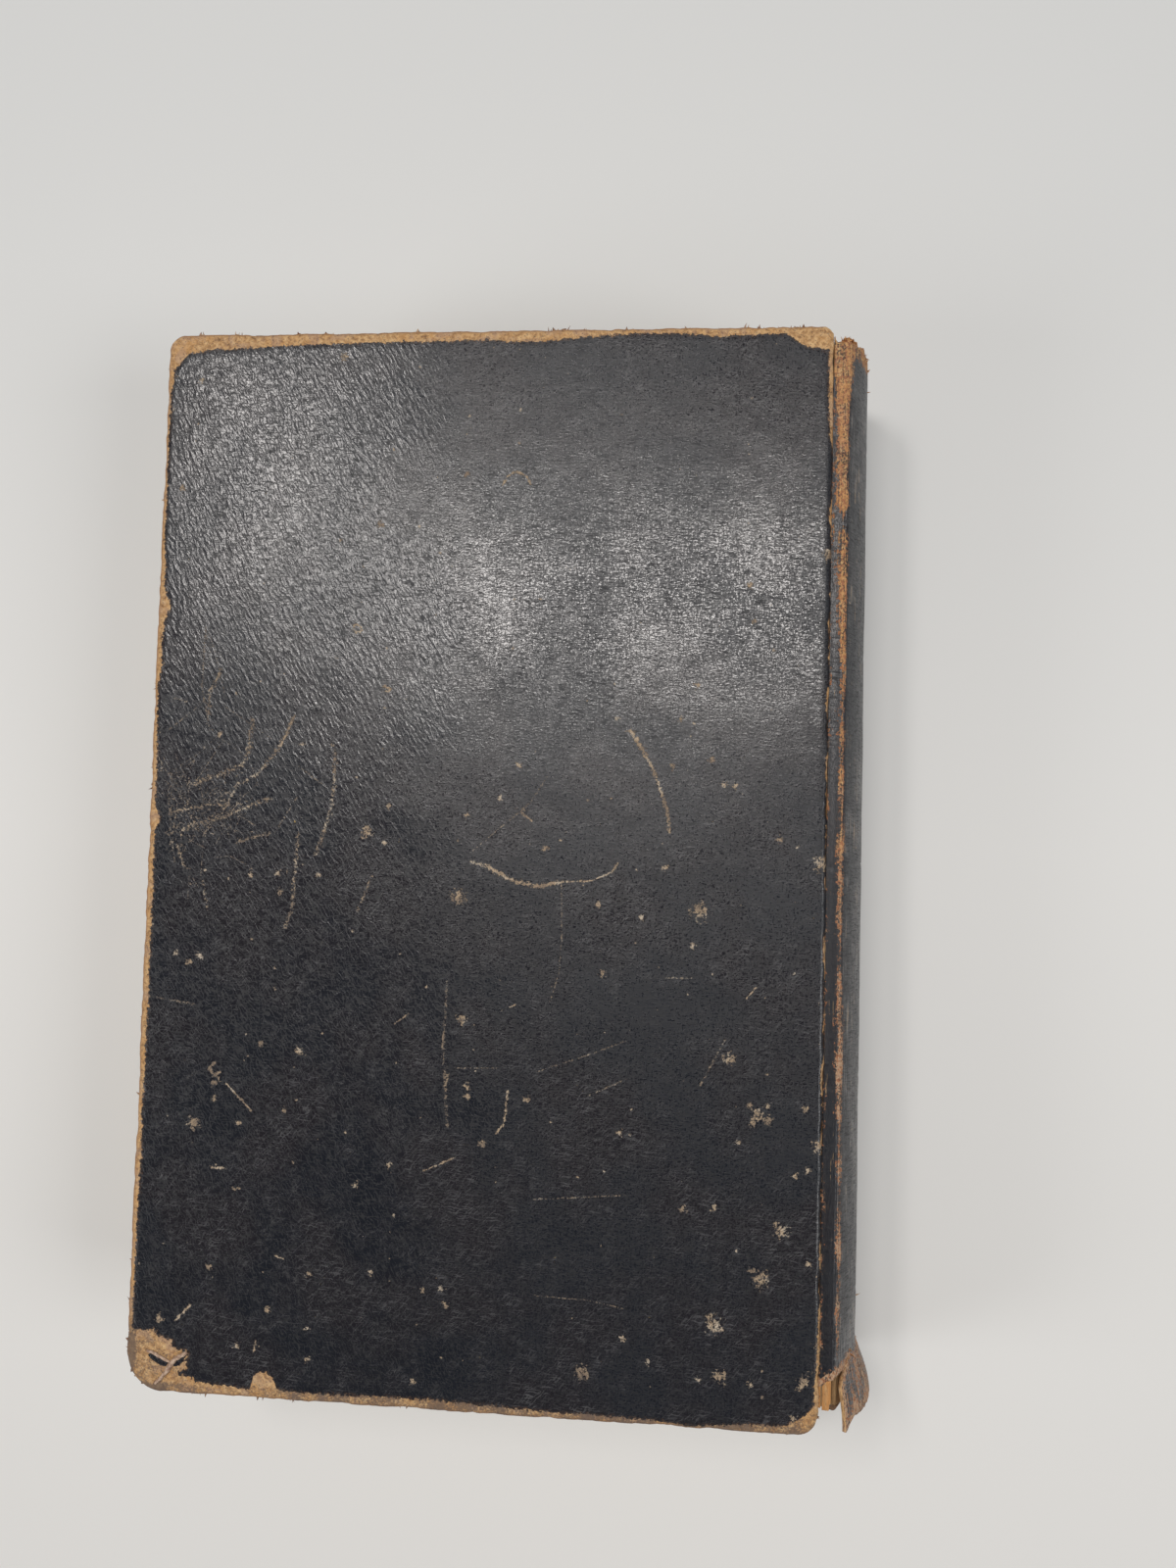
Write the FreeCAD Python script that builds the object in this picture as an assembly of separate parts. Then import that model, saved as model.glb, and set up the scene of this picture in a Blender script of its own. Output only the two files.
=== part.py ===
import FreeCAD
import Part
import math
import os
from FreeCAD import Vector

# A leather-bound book, closed and lying on its front cover with the back cover up.
# +X runs from the fore edge to the spine, +Y from the tail to the head, +Z up.
# The origin is at the middle of the closed book, on the surface that it lies on.
# All sizes are in millimetres.

# Driving dimensions of the closed book
cover_width = 159.0          # fore edge to the joint-side edge of a board
cover_height = 250.0         # tail to head
book_thickness = 44.0        # outside of one cover to the outside of the other
joint_width = 3.3            # groove between a board and the shoulder of the spine
spine_round = 7.0            # how far the spine stands out past its shoulders
tail_flare = 3.8             # how far the torn leather at the tail springs outwards

# Covers
board_thickness = 2.4
cover_leather = 0.8          # leather on the outside of a board and round its edges
turn_in_leather = 0.5        # pared leather turned in on the inside
turn_in_width = 15.0
pastedown_paper = 0.2
pastedown_margin = 3.5       # leather left showing round the pastedown
outer_edge_round = 1.2       # the leather's round along the outside of the board
inner_edge_round = 0.45
board_edge_bevel = 0.6
back_corner_rounds = {"fore_tail": 9.0, "fore_head": 4.0, "joint_head": 2.6, "joint_tail": 6.0}
front_corner_rounds = {"fore_tail": 6.0, "fore_head": 4.5, "joint_head": 3.0, "joint_tail": 3.5}

# Text block
fore_square = 4.0            # how far the covers stand out past the leaves at the fore edge
head_square = 3.5            # and at the head
tail_square = 5.0            # and at the tail, where the leaves have pulled up
fore_edge_hollow = 6.5       # depth of the hollow fore edge
flyleaf_paper = 0.3
closing_gap = 0.15           # air between a pastedown and its flyleaf
shoulder_clearance = 0.4     # gap between a board's joint edge and the backed shoulder
shoulder_inset = 0.8         # the leaves' shoulder lies this far inside the leather's ridge
cord_diameter = 1.9
cord_clearance = 0.05        # air round a cord in the saw cut that it lies in
round_sides = 8              # cords and beads are drawn with this many sides
cord_count = 5
end_cord_inset = 22.0        # from the end of the leaves to the first cord

# Spine linings, from the leaves outwards
glue_line = 0.05             # glue between one layer and the next
mull_cloth = 0.3
tube_paper = 0.3
tube_hollow = 0.7
spine_leather = 0.9
shoulder_drop = 0.4          # the spine's ridge lies this far under the cover's outside
groove_depth = 1.3
leather_break = 0.3          # gap where the leather flexes at a board's edge

# Endbands
band_bead = 2.2
band_skirt = 8.0
band_end_angle = 6.0         # the bands stop short of the shoulders by this angle

# Worn head and torn tail of the spine leather
head_wear = 3.0              # the leather at the head is worn back this far
head_ragged = 1.2
tail_wear = 2.6
tail_ragged = 1.8
tear_height_joint = 12.5     # the tear starts this far above the tail, at the board
tear_height_top = 18.5       # and runs up to here
tear_top_angle = 21.0        # place of the top of the tear, round the spine
flap_edge_angle = 33.0       # free edge of the torn flap, round the spine
flap_edge_flare = 2.0        # how far that edge springs outwards
hollow_back_wear = 1.0       # the paper tube stops this far short of the leaves' ends

# Levels and edges that follow from them
cover_thickness = cover_leather + board_thickness + turn_in_leather + pastedown_paper
mid_z = book_thickness / 2
half_height = cover_height / 2
leaves_top = book_thickness - cover_thickness - closing_gap - flyleaf_paper
leaves_bottom = book_thickness - leaves_top
leaves_head = half_height - head_square
leaves_tail = -half_height + tail_square
kerf_width = cord_diameter + 2 * cord_clearance
half_ridge = mid_z - shoulder_drop
spine_radius = (half_ridge ** 2 + spine_round ** 2) / (2 * spine_round)
ridge_angle = math.degrees(math.asin(half_ridge / spine_radius))
closed_width = cover_width + joint_width + spine_round + tail_flare
fore_x = -closed_width / 2
joint_x = fore_x + cover_width
ridge_x = joint_x + joint_width
spine_centre_x = ridge_x + spine_round - spine_radius
leather_inside = spine_radius - spine_leather
tube_outside = leather_inside - glue_line
tube_inside = tube_outside - 2 * tube_paper - tube_hollow
mull_outside = tube_inside - glue_line
leaves_radius = mull_outside - mull_cloth
leaves_angle = math.degrees(math.acos((ridge_x - shoulder_inset - spine_centre_x) / leaves_radius))


def spine_point(radius, angle, y=0.0):
    """A point round the spine: angle 0 is its outermost line, positive angles lie towards the back cover."""
    turn = math.radians(angle)
    return Vector(spine_centre_x + radius * math.cos(turn), y, mid_z + radius * math.sin(turn))


def arc(first, middle, last):
    """The edge of a round stretch through three points."""
    return Part.Arc(first, middle, last).toShape()


def line(first, last):
    """A straight edge."""
    return Part.LineSegment(first, last).toShape()


def extruded(edges, direction):
    """The solid that a closed outline sweeps along a straight way."""
    return Part.Face(Part.Wire(Part.__sortEdges__(edges))).extrude(direction)


def prism(corners, direction):
    """The solid over a straight-sided outline."""
    return Part.Face(Part.makePolygon(corners + [corners[0]])).extrude(direction)


def spine_layer(inner, outer, low_angle, high_angle, low_y, high_y):
    """A layer wrapped round the spine, between two radii, two angles and two heights."""
    middle = (low_angle + high_angle) / 2
    edges = [
        arc(*(spine_point(outer, a, low_y) for a in (low_angle, middle, high_angle))),
        line(spine_point(outer, high_angle, low_y), spine_point(inner, high_angle, low_y)),
        arc(*(spine_point(inner, a, low_y) for a in (high_angle, middle, low_angle))),
        line(spine_point(inner, low_angle, low_y), spine_point(outer, low_angle, low_y)),
    ]
    return extruded(edges, Vector(0, high_y - low_y, 0))


def spine_ring(inner, outer, y_low, y_high, half_angle):
    """A ring round the spine's centre line with a rectangular section, as a saw kerf or a cord's bed."""
    corners = [spine_point(r, -half_angle, y) for r, y in
               ((inner, y_low), (outer, y_low), (outer, y_high), (inner, y_high))]
    face = Part.Face(Part.makePolygon(corners + [corners[0]]))
    return face.revolve(Vector(spine_centre_x, 0, mid_z), Vector(0, -1, 0), 2 * half_angle)


def cover_outline(inset, z, rounds, joint_inset=None):
    """A board's outline with its four rounded corners, taken in by inset, as a face at height z."""
    left = fore_x + inset
    right = joint_x - (inset if joint_inset is None else joint_inset)
    top = half_height - inset
    bottom = -top
    diagonal = 1 - math.sqrt(0.5)
    least = 0.5
    corners = [("fore_tail", left, bottom, 1, 1), ("joint_tail", right, bottom, -1, 1),
               ("joint_head", right, top, -1, -1), ("fore_head", left, top, 1, -1)]
    edges = []
    ends = []
    for name, x, y, sx, sy in corners:
        r = max(rounds[name] - inset, least)
        along_y = Vector(x, y + sy * r, z)
        along_x = Vector(x + sx * r, y, z)
        middle = Vector(x + sx * r * diagonal, y + sy * r * diagonal, z)
        first, last = (along_y, along_x) if sx * sy > 0 else (along_x, along_y)
        edges.append(arc(first, middle, last))
        ends.append((first, last))
    for here, after in zip(ends, ends[1:] + ends[:1]):
        edges.append(line(here[1], after[0]))
    return Part.Face(Part.Wire(Part.__sortEdges__(edges)))


def level_edges(solid, z):
    """The edges of a solid that lie at one height."""
    near = 1e-4
    return [e for e in solid.Edges
            if abs(e.BoundBox.ZMin - z) < near and abs(e.BoundBox.ZMax - z) < near]


def back_board(rounds):
    """The pasteboard of a cover, with its outer edges bevelled."""
    top = book_thickness - cover_leather
    board = cover_outline(cover_leather, top - board_thickness, rounds).extrude(Vector(0, 0, board_thickness))
    return board.makeChamfer(board_edge_bevel, level_edges(board, top))


def turn_in_window(rounds):
    """The bare part of a board's inside, between the turn-ins and the joint."""
    bottom = book_thickness - cover_leather - board_thickness - turn_in_leather
    low = Vector(fore_x + turn_in_width, -half_height + turn_in_width, bottom)
    return Part.makeBox(cover_width - turn_in_width - cover_leather,
                        cover_height - 2 * turn_in_width, turn_in_leather, low)


def back_cover_leather(rounds):
    """The leather over a board's outside and edges, turned in on three sides of the inside."""
    bottom = book_thickness - cover_leather - board_thickness - turn_in_leather
    skin = cover_outline(0, bottom, rounds).extrude(Vector(0, 0, book_thickness - bottom))
    skin = skin.makeFillet(outer_edge_round, level_edges(skin, book_thickness))
    skin = skin.makeFillet(inner_edge_round, level_edges(skin, bottom))
    return skin.cut(back_board(rounds)).cut(turn_in_window(rounds))


def back_pastedown(rounds):
    """The paper pasted over the turn-ins, dipping onto the board between them."""
    bottom = book_thickness - cover_thickness
    joint_margin = max(inner_edge_round, cover_leather)
    sheet = Part.makeBox(cover_width - pastedown_margin - joint_margin,
                         cover_height - 2 * pastedown_margin, pastedown_paper,
                         Vector(fore_x + pastedown_margin, -half_height + pastedown_margin, bottom))
    return sheet.fuse(turn_in_window(rounds)).removeSplitter()


def mirrored_to_front(solid):
    """The same piece on the front cover, which lies under the leaves."""
    return solid.mirror(Vector(0, 0, mid_z), Vector(0, 0, 1))


def cord_places():
    """Heights of the sewing cords, evenly spaced along the spine."""
    first = leaves_tail + end_cord_inset
    last = leaves_head - end_cord_inset
    return [first + (last - first) * i / (cord_count - 1) for i in range(cord_count)]


def text_block():
    """The sewn leaves as one solid: rounded and backed at the spine, hollow at the fore edge, sawn in for the cords."""
    low = leaves_tail
    left = fore_x + fore_square
    neck = joint_x + shoulder_clearance
    tip = spine_point(leaves_radius, leaves_angle, low)
    foot = spine_point(leaves_radius, -leaves_angle, low)
    sag = 0.35
    upper_neck = Vector(neck, low, leaves_top)
    lower_neck = Vector(neck, low, leaves_bottom)
    rise = Vector((neck + tip.x) / 2, low, leaves_top + sag * (tip.z - leaves_top))
    fall = Vector((neck + foot.x) / 2, low, leaves_bottom + sag * (foot.z - leaves_bottom))
    edges = [
        arc(Vector(left, low, leaves_bottom), Vector(left + fore_edge_hollow, low, mid_z), Vector(left, low, leaves_top)),
        line(Vector(left, low, leaves_top), upper_neck),
        arc(upper_neck, rise, tip),
        arc(tip, spine_point(leaves_radius, 0, low), foot),
        arc(foot, fall, lower_neck),
        line(lower_neck, Vector(left, low, leaves_bottom)),
    ]
    leaves = extruded(edges, Vector(0, leaves_head - leaves_tail, 0))
    past = 1.0
    for y in cord_places():
        kerf = spine_ring(leaves_radius - kerf_width, leaves_radius + past, y - kerf_width / 2,
                          y + kerf_width / 2, leaves_angle + past)
        leaves = leaves.cut(kerf)
    return leaves


def round_strand(radius, y, diameter, half_angle):
    """A strand bent round the spine's centre line at a radius, with a many-sided section."""
    corners = []
    for i in range(round_sides):
        turn = 2 * math.pi * (i + 0.5) / round_sides
        corners.append(spine_point(radius + diameter / 2 * math.cos(turn), -half_angle,
                                   y + diameter / 2 * math.sin(turn)))
    section = Part.Face(Part.makePolygon(corners + [corners[0]]))
    return section.revolve(Vector(spine_centre_x, 0, mid_z), Vector(0, -1, 0), 2 * half_angle)


def sewing_cord(y):
    """One hemp cord lying in its kerf, round the back of the leaves."""
    return round_strand(leaves_radius - kerf_width / 2, y, cord_diameter, leaves_angle)


def back_flyleaf():
    """The free endpaper that lies on the leaves under a cover."""
    left = fore_x + fore_square
    return Part.makeBox(joint_x + shoulder_clearance - left, leaves_head - leaves_tail, flyleaf_paper,
                        Vector(left, leaves_tail, leaves_top))


def spine_mull():
    """The open cloth glued over the back of the leaves, between the skirts of the endbands."""
    return spine_layer(leaves_radius, mull_outside, -leaves_angle, leaves_angle,
                       leaves_tail + band_skirt, leaves_head - band_skirt)


def endband(end):
    """A sewn band at the head (end 1) or the tail (end -1): a bead on the leaves' edge and a skirt glued to their back."""
    half_angle = leaves_angle - band_end_angle
    bead_radius = band_bead / 2
    edge = leaves_head if end > 0 else leaves_tail
    skirt_low, skirt_high = sorted((edge, edge - end * band_skirt))
    skirt = spine_layer(leaves_radius, mull_outside, -half_angle, half_angle, skirt_low, skirt_high)
    bead = round_strand(mull_outside - bead_radius, edge + end * bead_radius, band_bead, half_angle)
    neck_low, neck_high = sorted((edge, edge + end * bead_radius))
    neck = spine_layer(mull_outside - bead_radius, mull_outside, -half_angle, half_angle, neck_low, neck_high)
    return skirt.fuse(neck).fuse(bead).removeSplitter()


def hollow_tube():
    """The flattened paper tube between the leaves' back and the spine leather."""
    low = leaves_tail + hollow_back_wear
    high = leaves_head - hollow_back_wear
    outside = spine_layer(tube_inside, tube_outside, -leaves_angle, leaves_angle, low, high)
    fold = 1.0
    past = 1.0
    inside = spine_layer(tube_inside + tube_paper, tube_outside - tube_paper,
                         -leaves_angle + fold, leaves_angle - fold, low - past, high + past)
    return outside.cut(inside)


def ragged_row(depth, count, low_z, high_z, base, end, reach):
    """A cutting block with a ragged front, to wear back an end of the spine leather."""
    shares = [0.2, 1.0, 0.35, 0.8, 0.05, 0.65, 0.3, 0.9]
    corners = []
    for i in range(count + 1):
        z = low_z + (high_z - low_z) * i / count
        corners.append(Vector(0, base - end * depth * shares[i % len(shares)], z))
    corners.append(Vector(0, base + end * reach, high_z))
    corners.append(Vector(0, base + end * reach, low_z))
    return prism(corners, Vector(closed_width, 0, 0))


def flared_section(y, edge_angle, share):
    """The outline of the spine leather at one height of the torn tail, sprung outwards by a share of the flare."""
    def points(radius):
        return [spine_point(radius, -ridge_angle, y),
                spine_point(radius + share * tail_flare, 0, y),
                spine_point(radius + share * flap_edge_flare, edge_angle, y)]
    outer = points(spine_radius)
    inner = points(leather_inside)
    return Part.Wire([arc(*outer), line(outer[2], inner[2]), arc(*inner[::-1]), line(inner[0], outer[0])])


def spine_skin():
    """The leather over the spine: ragged at the head, torn open at the tail, where its flap stands off."""
    tail = -half_height
    head = half_height - head_wear
    top_of_tear = tail + tear_height_top
    main = spine_layer(leather_inside, spine_radius, -ridge_angle, ridge_angle, top_of_tear, head)
    tongue = spine_layer(leather_inside, spine_radius, tear_top_angle, ridge_angle,
                         tail + tear_height_joint, top_of_tear)
    facing = (tear_top_angle + ridge_angle) / 2
    outwards = spine_point(1, facing) - spine_point(0, facing)
    upwards = Vector(-outwards.z, 0, outwards.x)
    spread = spine_radius * math.sin(math.radians((ridge_angle - tear_top_angle) / 2))
    base = spine_point(leather_inside / 2, facing)
    past = 2.0
    steps = [(-1.0, 1.0), (-0.45, 0.72), (-0.3, 0.8), (0.25, 0.3), (0.5, 0.34), (1.0, 0.0)]
    rise = tear_height_top - tear_height_joint
    corners = [base + upwards * (spread * s) + Vector(0, tail + tear_height_joint + rise * h, 0) for s, h in steps]
    corners[0] = corners[0] - upwards * past + Vector(0, past, 0)
    corners[-1] = corners[-1] + upwards * past
    corners.append(corners[-1] + Vector(0, -rise, 0))
    corners.append(corners[0] + Vector(0, -2 * rise, 0))
    tongue = tongue.cut(prism(corners, outwards * spine_radius))
    sections = [flared_section(top_of_tear, tear_top_angle, 0.0),
                flared_section(tail + 0.75 * tear_height_top, 0.9 * flap_edge_angle, 0.3),
                flared_section(tail + 0.4 * tear_height_top, flap_edge_angle, 0.75),
                flared_section(tail + tail_wear / 2, flap_edge_angle, 1.0)]
    flap = Part.makeLoft(sections[::-1], True, True)
    skin = main.fuse(tongue).fuse(flap).removeSplitter()
    low, high = shoulder_drop - past, book_thickness - shoulder_drop + past
    wide = 4 * head_ragged + head_wear
    teeth = 22
    skin = skin.cut(ragged_row(head_ragged, teeth, low, high, head, 1, wide))
    return skin.cut(ragged_row(-tail_ragged, teeth, low, high, tail + tail_wear, -1, wide))


def back_joint_leather(low_y, high_y):
    """The strip of leather in the groove, from a board's edge to under the ridge of the spine's leather."""
    board_side = joint_x + leather_break
    top = book_thickness - outer_edge_round
    lap = math.degrees(cover_leather / leather_inside)
    ridge_end, lap_middle, lap_end = (spine_point(leather_inside - glue_line, ridge_angle - turn, low_y)
                                      for turn in (0, lap / 2, lap))
    valley = Vector((board_side + ridge_end.x) / 2, low_y, book_thickness - groove_depth)
    down = Vector(0, 0, -cover_leather)
    start = Vector(board_side, low_y, top)
    edges = [arc(start, valley, ridge_end), arc(ridge_end, lap_middle, lap_end),
             arc(lap_end, valley + down, start + down), line(start + down, start)]
    return extruded(edges, Vector(0, high_y - low_y, 0))


def torn_joint_leather():
    """The joint strip of the back cover, torn off aslant above the tail and worn at the head."""
    tail = -half_height
    strip = back_joint_leather(tail + tear_height_joint / 2, half_height - head_wear)
    slant = 2.0
    past = 1.0
    corners = [Vector(joint_x, tail + tear_height_joint - slant, 0),
               Vector(ridge_x + past, tail + tear_height_joint + past / 2, 0),
               Vector(ridge_x + past, tail, 0), Vector(joint_x, tail, 0)]
    return strip.cut(prism(corners, Vector(0, 0, book_thickness)))


def front_joint_leather():
    """The joint strip of the front cover, whole but for the worn ends."""
    strip = back_joint_leather(-half_height + tail_wear, half_height - head_wear)
    return mirrored_to_front(strip)


def build():
    """Every piece of the book under its own name."""
    pieces = {
        "text_block": text_block(),
        "back_flyleaf": back_flyleaf(),
        "front_flyleaf": mirrored_to_front(back_flyleaf()),
        "spine_mull": spine_mull(),
        "headband": endband(1),
        "tailband": endband(-1),
        "hollow_tube": hollow_tube(),
        "spine_leather": spine_skin(),
        "back_joint_leather": torn_joint_leather(),
        "front_joint_leather": front_joint_leather(),
        "back_board": back_board(back_corner_rounds),
        "back_cover_leather": back_cover_leather(back_corner_rounds),
        "back_pastedown": back_pastedown(back_corner_rounds),
        "front_board": mirrored_to_front(back_board(front_corner_rounds)),
        "front_cover_leather": mirrored_to_front(back_cover_leather(front_corner_rounds)),
        "front_pastedown": mirrored_to_front(back_pastedown(front_corner_rounds)),
    }
    for number, y in enumerate(cord_places(), 1):
        pieces[f"sewing_cord_{number}"] = sewing_cord(y)
    return pieces


def main():
    os.makedirs("parts", exist_ok=True)
    for name, solid in build().items():
        solid.exportStep(f"parts/{name}.step")
        box = solid.optimalBoundingBox()
        print(f"{name}: {len(solid.Solids)} solid, valid {solid.isValid()}, volume {solid.Volume:.1f}, "
              f"x {box.XMin:.2f} to {box.XMax:.2f}, y {box.YMin:.2f} to {box.YMax:.2f}, "
              f"z {box.ZMin:.2f} to {box.ZMax:.2f}")
    print(f"hinge lines at x {joint_x:.3f}, z {0:.3f} and {book_thickness:.3f}")


main()
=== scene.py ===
import math
import bpy
import numpy as np
from mathutils import Matrix, Vector


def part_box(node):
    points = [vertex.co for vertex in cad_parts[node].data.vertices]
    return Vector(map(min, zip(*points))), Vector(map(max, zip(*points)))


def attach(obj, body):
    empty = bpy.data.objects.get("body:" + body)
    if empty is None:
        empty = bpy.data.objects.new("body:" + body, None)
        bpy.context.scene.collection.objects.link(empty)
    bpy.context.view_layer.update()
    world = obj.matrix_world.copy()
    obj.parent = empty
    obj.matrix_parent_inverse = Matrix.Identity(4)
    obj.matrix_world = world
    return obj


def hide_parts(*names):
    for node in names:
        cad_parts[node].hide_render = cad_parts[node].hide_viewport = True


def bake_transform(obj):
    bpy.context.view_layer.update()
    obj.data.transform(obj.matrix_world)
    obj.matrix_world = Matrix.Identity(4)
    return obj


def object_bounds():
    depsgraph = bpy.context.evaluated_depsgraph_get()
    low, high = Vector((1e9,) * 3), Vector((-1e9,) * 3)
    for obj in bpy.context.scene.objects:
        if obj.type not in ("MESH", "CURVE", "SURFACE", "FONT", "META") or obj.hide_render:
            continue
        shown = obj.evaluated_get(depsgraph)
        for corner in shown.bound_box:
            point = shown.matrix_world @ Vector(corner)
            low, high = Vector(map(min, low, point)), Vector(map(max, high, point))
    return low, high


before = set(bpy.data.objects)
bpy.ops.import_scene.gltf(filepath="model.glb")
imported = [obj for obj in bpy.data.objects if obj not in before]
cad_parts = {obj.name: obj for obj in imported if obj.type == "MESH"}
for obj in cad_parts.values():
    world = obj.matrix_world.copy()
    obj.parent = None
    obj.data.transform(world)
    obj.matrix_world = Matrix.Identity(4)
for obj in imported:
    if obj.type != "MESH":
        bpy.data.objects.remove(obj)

cad_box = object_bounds()

# The view. The photograph looks almost straight at the back cover, from a hand's length off, a little
# towards the spine, so the camera looks down on the book as it lies. Lengths here and below are in
# millimetres.
mm = 0.001
photo_width, photo_height = 1200, 1600
focal_pixels = 1200
cover_low, cover_high = (np.array(corner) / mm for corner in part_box("back_cover_leather"))
cover_middle = (cover_low + cover_high) / 2
camera_place = np.array([cover_middle[0] + 49.35, 4.45, cover_high[2] + 268.8])
camera_turn = [math.radians(a) for a in (2.98, 5.08, 1.42)]
view = bpy.data.cameras.new("view")
view.sensor_width = 36
view.lens = view.sensor_width * focal_pixels / photo_height
view.clip_start = 10 * mm
camera = bpy.data.objects.new("camera", view)
camera.location = camera_place * mm
camera.rotation_euler = camera_turn
bpy.context.collection.objects.link(camera)
bpy.context.scene.camera = camera
bpy.context.scene.view_settings.view_transform = "Standard"


def at_level(pixels, level):
    """Where the view lines through points of the photograph meet a level z, each scaled to reach it."""
    pixels = np.atleast_2d(np.array(pixels, float))
    lines = np.stack([pixels[:, 0] - photo_width / 2, photo_height / 2 - pixels[:, 1],
                      np.full(len(pixels), -focal_pixels)], axis=1)
    turned = lines @ np.array(camera.rotation_euler.to_matrix()).T
    reach = (level - camera_place[2]) / turned[:, 2:]
    return (camera_place + turned * reach)[:, :2]


class Wire:
    """A socket of a material's nodes. Arithmetic on it adds Math nodes, and node() adds any other node."""

    def __init__(self, tree, socket=None):
        self.tree = tree
        self.socket = socket

    def node(self, kind, settings=None, inputs=None, output=0):
        made = self.tree.nodes.new("ShaderNode" + kind)
        for name, value in (settings or {}).items():
            if name == "stops":
                ramp = made.color_ramp
                while len(ramp.elements) < len(value):
                    ramp.elements.new(0.5)
                for stop, (place, colour) in zip(ramp.elements, value):
                    stop.position = place
                    stop.color = (*colour, 1)
            else:
                setattr(made, name, value)
        for name, value in (inputs or {}).items():
            if isinstance(value, Wire):
                self.tree.links.new(value.socket, made.inputs[name])
            elif value is not None:
                made.inputs[name].default_value = value
        return Wire(self.tree, made.outputs[output])

    def math(self, operation, *values):
        return self.node("Math", {"operation": operation}, dict(enumerate(values)))

    def __add__(self, other):
        return self.math("ADD", self, other)

    def __sub__(self, other):
        return self.math("SUBTRACT", self, other)

    def __rsub__(self, other):
        return self.math("SUBTRACT", other, self)

    def __mul__(self, other):
        return self.math("MULTIPLY", self, other)

    __radd__ = __add__
    __rmul__ = __mul__

    def sine(self, period):
        """A wave from -1 to 1 with this period."""
        return self.math("SINE", self * (2 * math.pi / period))

    def highest(self, other):
        return self.math("MAXIMUM", self, other)

    def unsigned(self):
        return self.math("ABSOLUTE", self)

    def rise(self, low, high):
        """0 below low and 1 above high, with a smooth step between; falls where low is the greater."""
        if low > high:
            return 1 - self.rise(high, low)
        return self.node("MapRange", {"interpolation_type": "SMOOTHSTEP"}, {0: self, 1: low, 2: high})

    def parts(self):
        """The X, Y and Z of a vector."""
        split = self.tree.nodes.new("ShaderNodeSeparateXYZ")
        self.tree.links.new(self.socket, split.inputs[0])
        return [Wire(self.tree, socket) for socket in split.outputs]

    def scaled(self, x, y=None, z=None):
        """The vector with each of its parts multiplied."""
        factors = (x, x if y is None else y, x if z is None else z)
        return self.node("VectorMath", {"operation": "MULTIPLY"}, {0: self, 1: factors})

    def noise(self, size, detail=2.0, roughness=0.5, dimensions="3D", output="Fac"):
        """Cloudy noise about 0.5, with patches of about this size where the vector is in millimetres."""
        return self.node("TexNoise", {"noise_dimensions": dimensions},
                         {"Vector": self, "Scale": 1 / size, "Detail": detail, "Roughness": roughness}, output)

    def flat_noise(self, size, detail=2.0, roughness=0.5, long=1.0, turn=0.0):
        """Noise in the vector's X and Y alone, stretched by long along a line turned by this many degrees."""
        laid = self
        if long != 1.0:
            laid = self.node("Mapping", {"vector_type": "TEXTURE"},
                             {"Vector": self, "Rotation": (0, 0, math.radians(turn)), "Scale": (long, 1, 1)})
        return laid.noise(size, detail, roughness, "2D")

    def cells(self, size, output="Distance"):
        """Voronoi cells in X and Y: how far the cell's middle is, in cells, or the cell's own colour."""
        return self.node("TexVoronoi", {"voronoi_dimensions": "2D"}, {"Vector": self, "Scale": 1 / size},
                         output)

    def shaken(self, size, amount):
        """The vector moved about by noise in X and Y, up to about half of amount."""
        moved = self.node("TexNoise", {"noise_dimensions": "2D"}, {"Vector": self, "Scale": 1 / size}, "Color")
        centred = self.node("VectorMath", {"operation": "SUBTRACT"}, {0: moved, 1: (0.5, 0.5, 0.5)})
        return self.node("VectorMath", {"operation": "ADD"}, {0: self, 1: centred.scaled(amount)})

    def mixed(self, other, share):
        """This colour with another over it, by a share from 0 to 1."""
        over = other if isinstance(other, Wire) else (*other, 1)
        return self.node("Mix", {"data_type": "RGBA"}, {0: share, 6: self, 7: over}, 2)

    def ramp(self, *stops):
        """A colour for each value from 0 to 1."""
        return self.node("ValToRGB", {"stops": stops}, {0: self})


def new_material(name):
    """A material with only its output and a Principled shader, and the Object coordinates in millimetres."""
    material = bpy.data.materials.new(name)
    material.use_nodes = True
    start = Wire(material.node_tree)
    place = start.node("TexCoord", output="Object").scaled(1 / mm)
    return material, start, place


def finish_material(material, colour, roughness, height=None, **constants):
    """Feeds the Principled shader. height is in millimetres, and the constants are for its other sockets."""
    tree = material.node_tree
    shader = tree.nodes["Principled BSDF"]
    for name, value in (("Base Color", colour), ("Roughness", roughness)):
        if isinstance(value, Wire):
            tree.links.new(value.socket, shader.inputs[name])
        else:
            shader.inputs[name].default_value = value
    if height is not None:
        bump = height.node("Bump", {}, {"Height": height, "Distance": mm, "Strength": 1.0})
        tree.links.new(bump.socket, shader.inputs["Normal"])
    for name, value in constants.items():
        shader.inputs[name.replace("_", " ")].default_value = value
    return material


# The stage: a pale floor that the book lies on, which fades into a pale distance. Two bright lamps stand
# where the cover mirrors them, so that its polished grain shines at the upper left and in a band, and soft
# ones light the rest.
floor_size = 9000
distance_colour = (0.655, 0.66, 0.655, 1)
floor_mesh = bpy.data.meshes.new("floor")
floor_corner = floor_size / 2 * mm
floor_mesh.from_pydata([(-floor_corner, -floor_corner, 0), (floor_corner, -floor_corner, 0),
                        (floor_corner, floor_corner, 0), (-floor_corner, floor_corner, 0)], [], [(0, 1, 2, 3)])
floor = bpy.data.objects.new("floor", floor_mesh)
bpy.context.collection.objects.link(floor)
floor_material, start, place = new_material("pale_floor")
towards_head = place.parts()[1].rise(-220, 260)
floor_colour = towards_head.ramp((0, (0.755, 0.75, 0.73)), (0.45, (0.77, 0.77, 0.755)),
                                 (1, (0.665, 0.675, 0.67)))
floor_mesh.materials.append(finish_material(floor_material, floor_colour, 0.8))
floor_nodes = floor_material.node_tree
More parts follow.
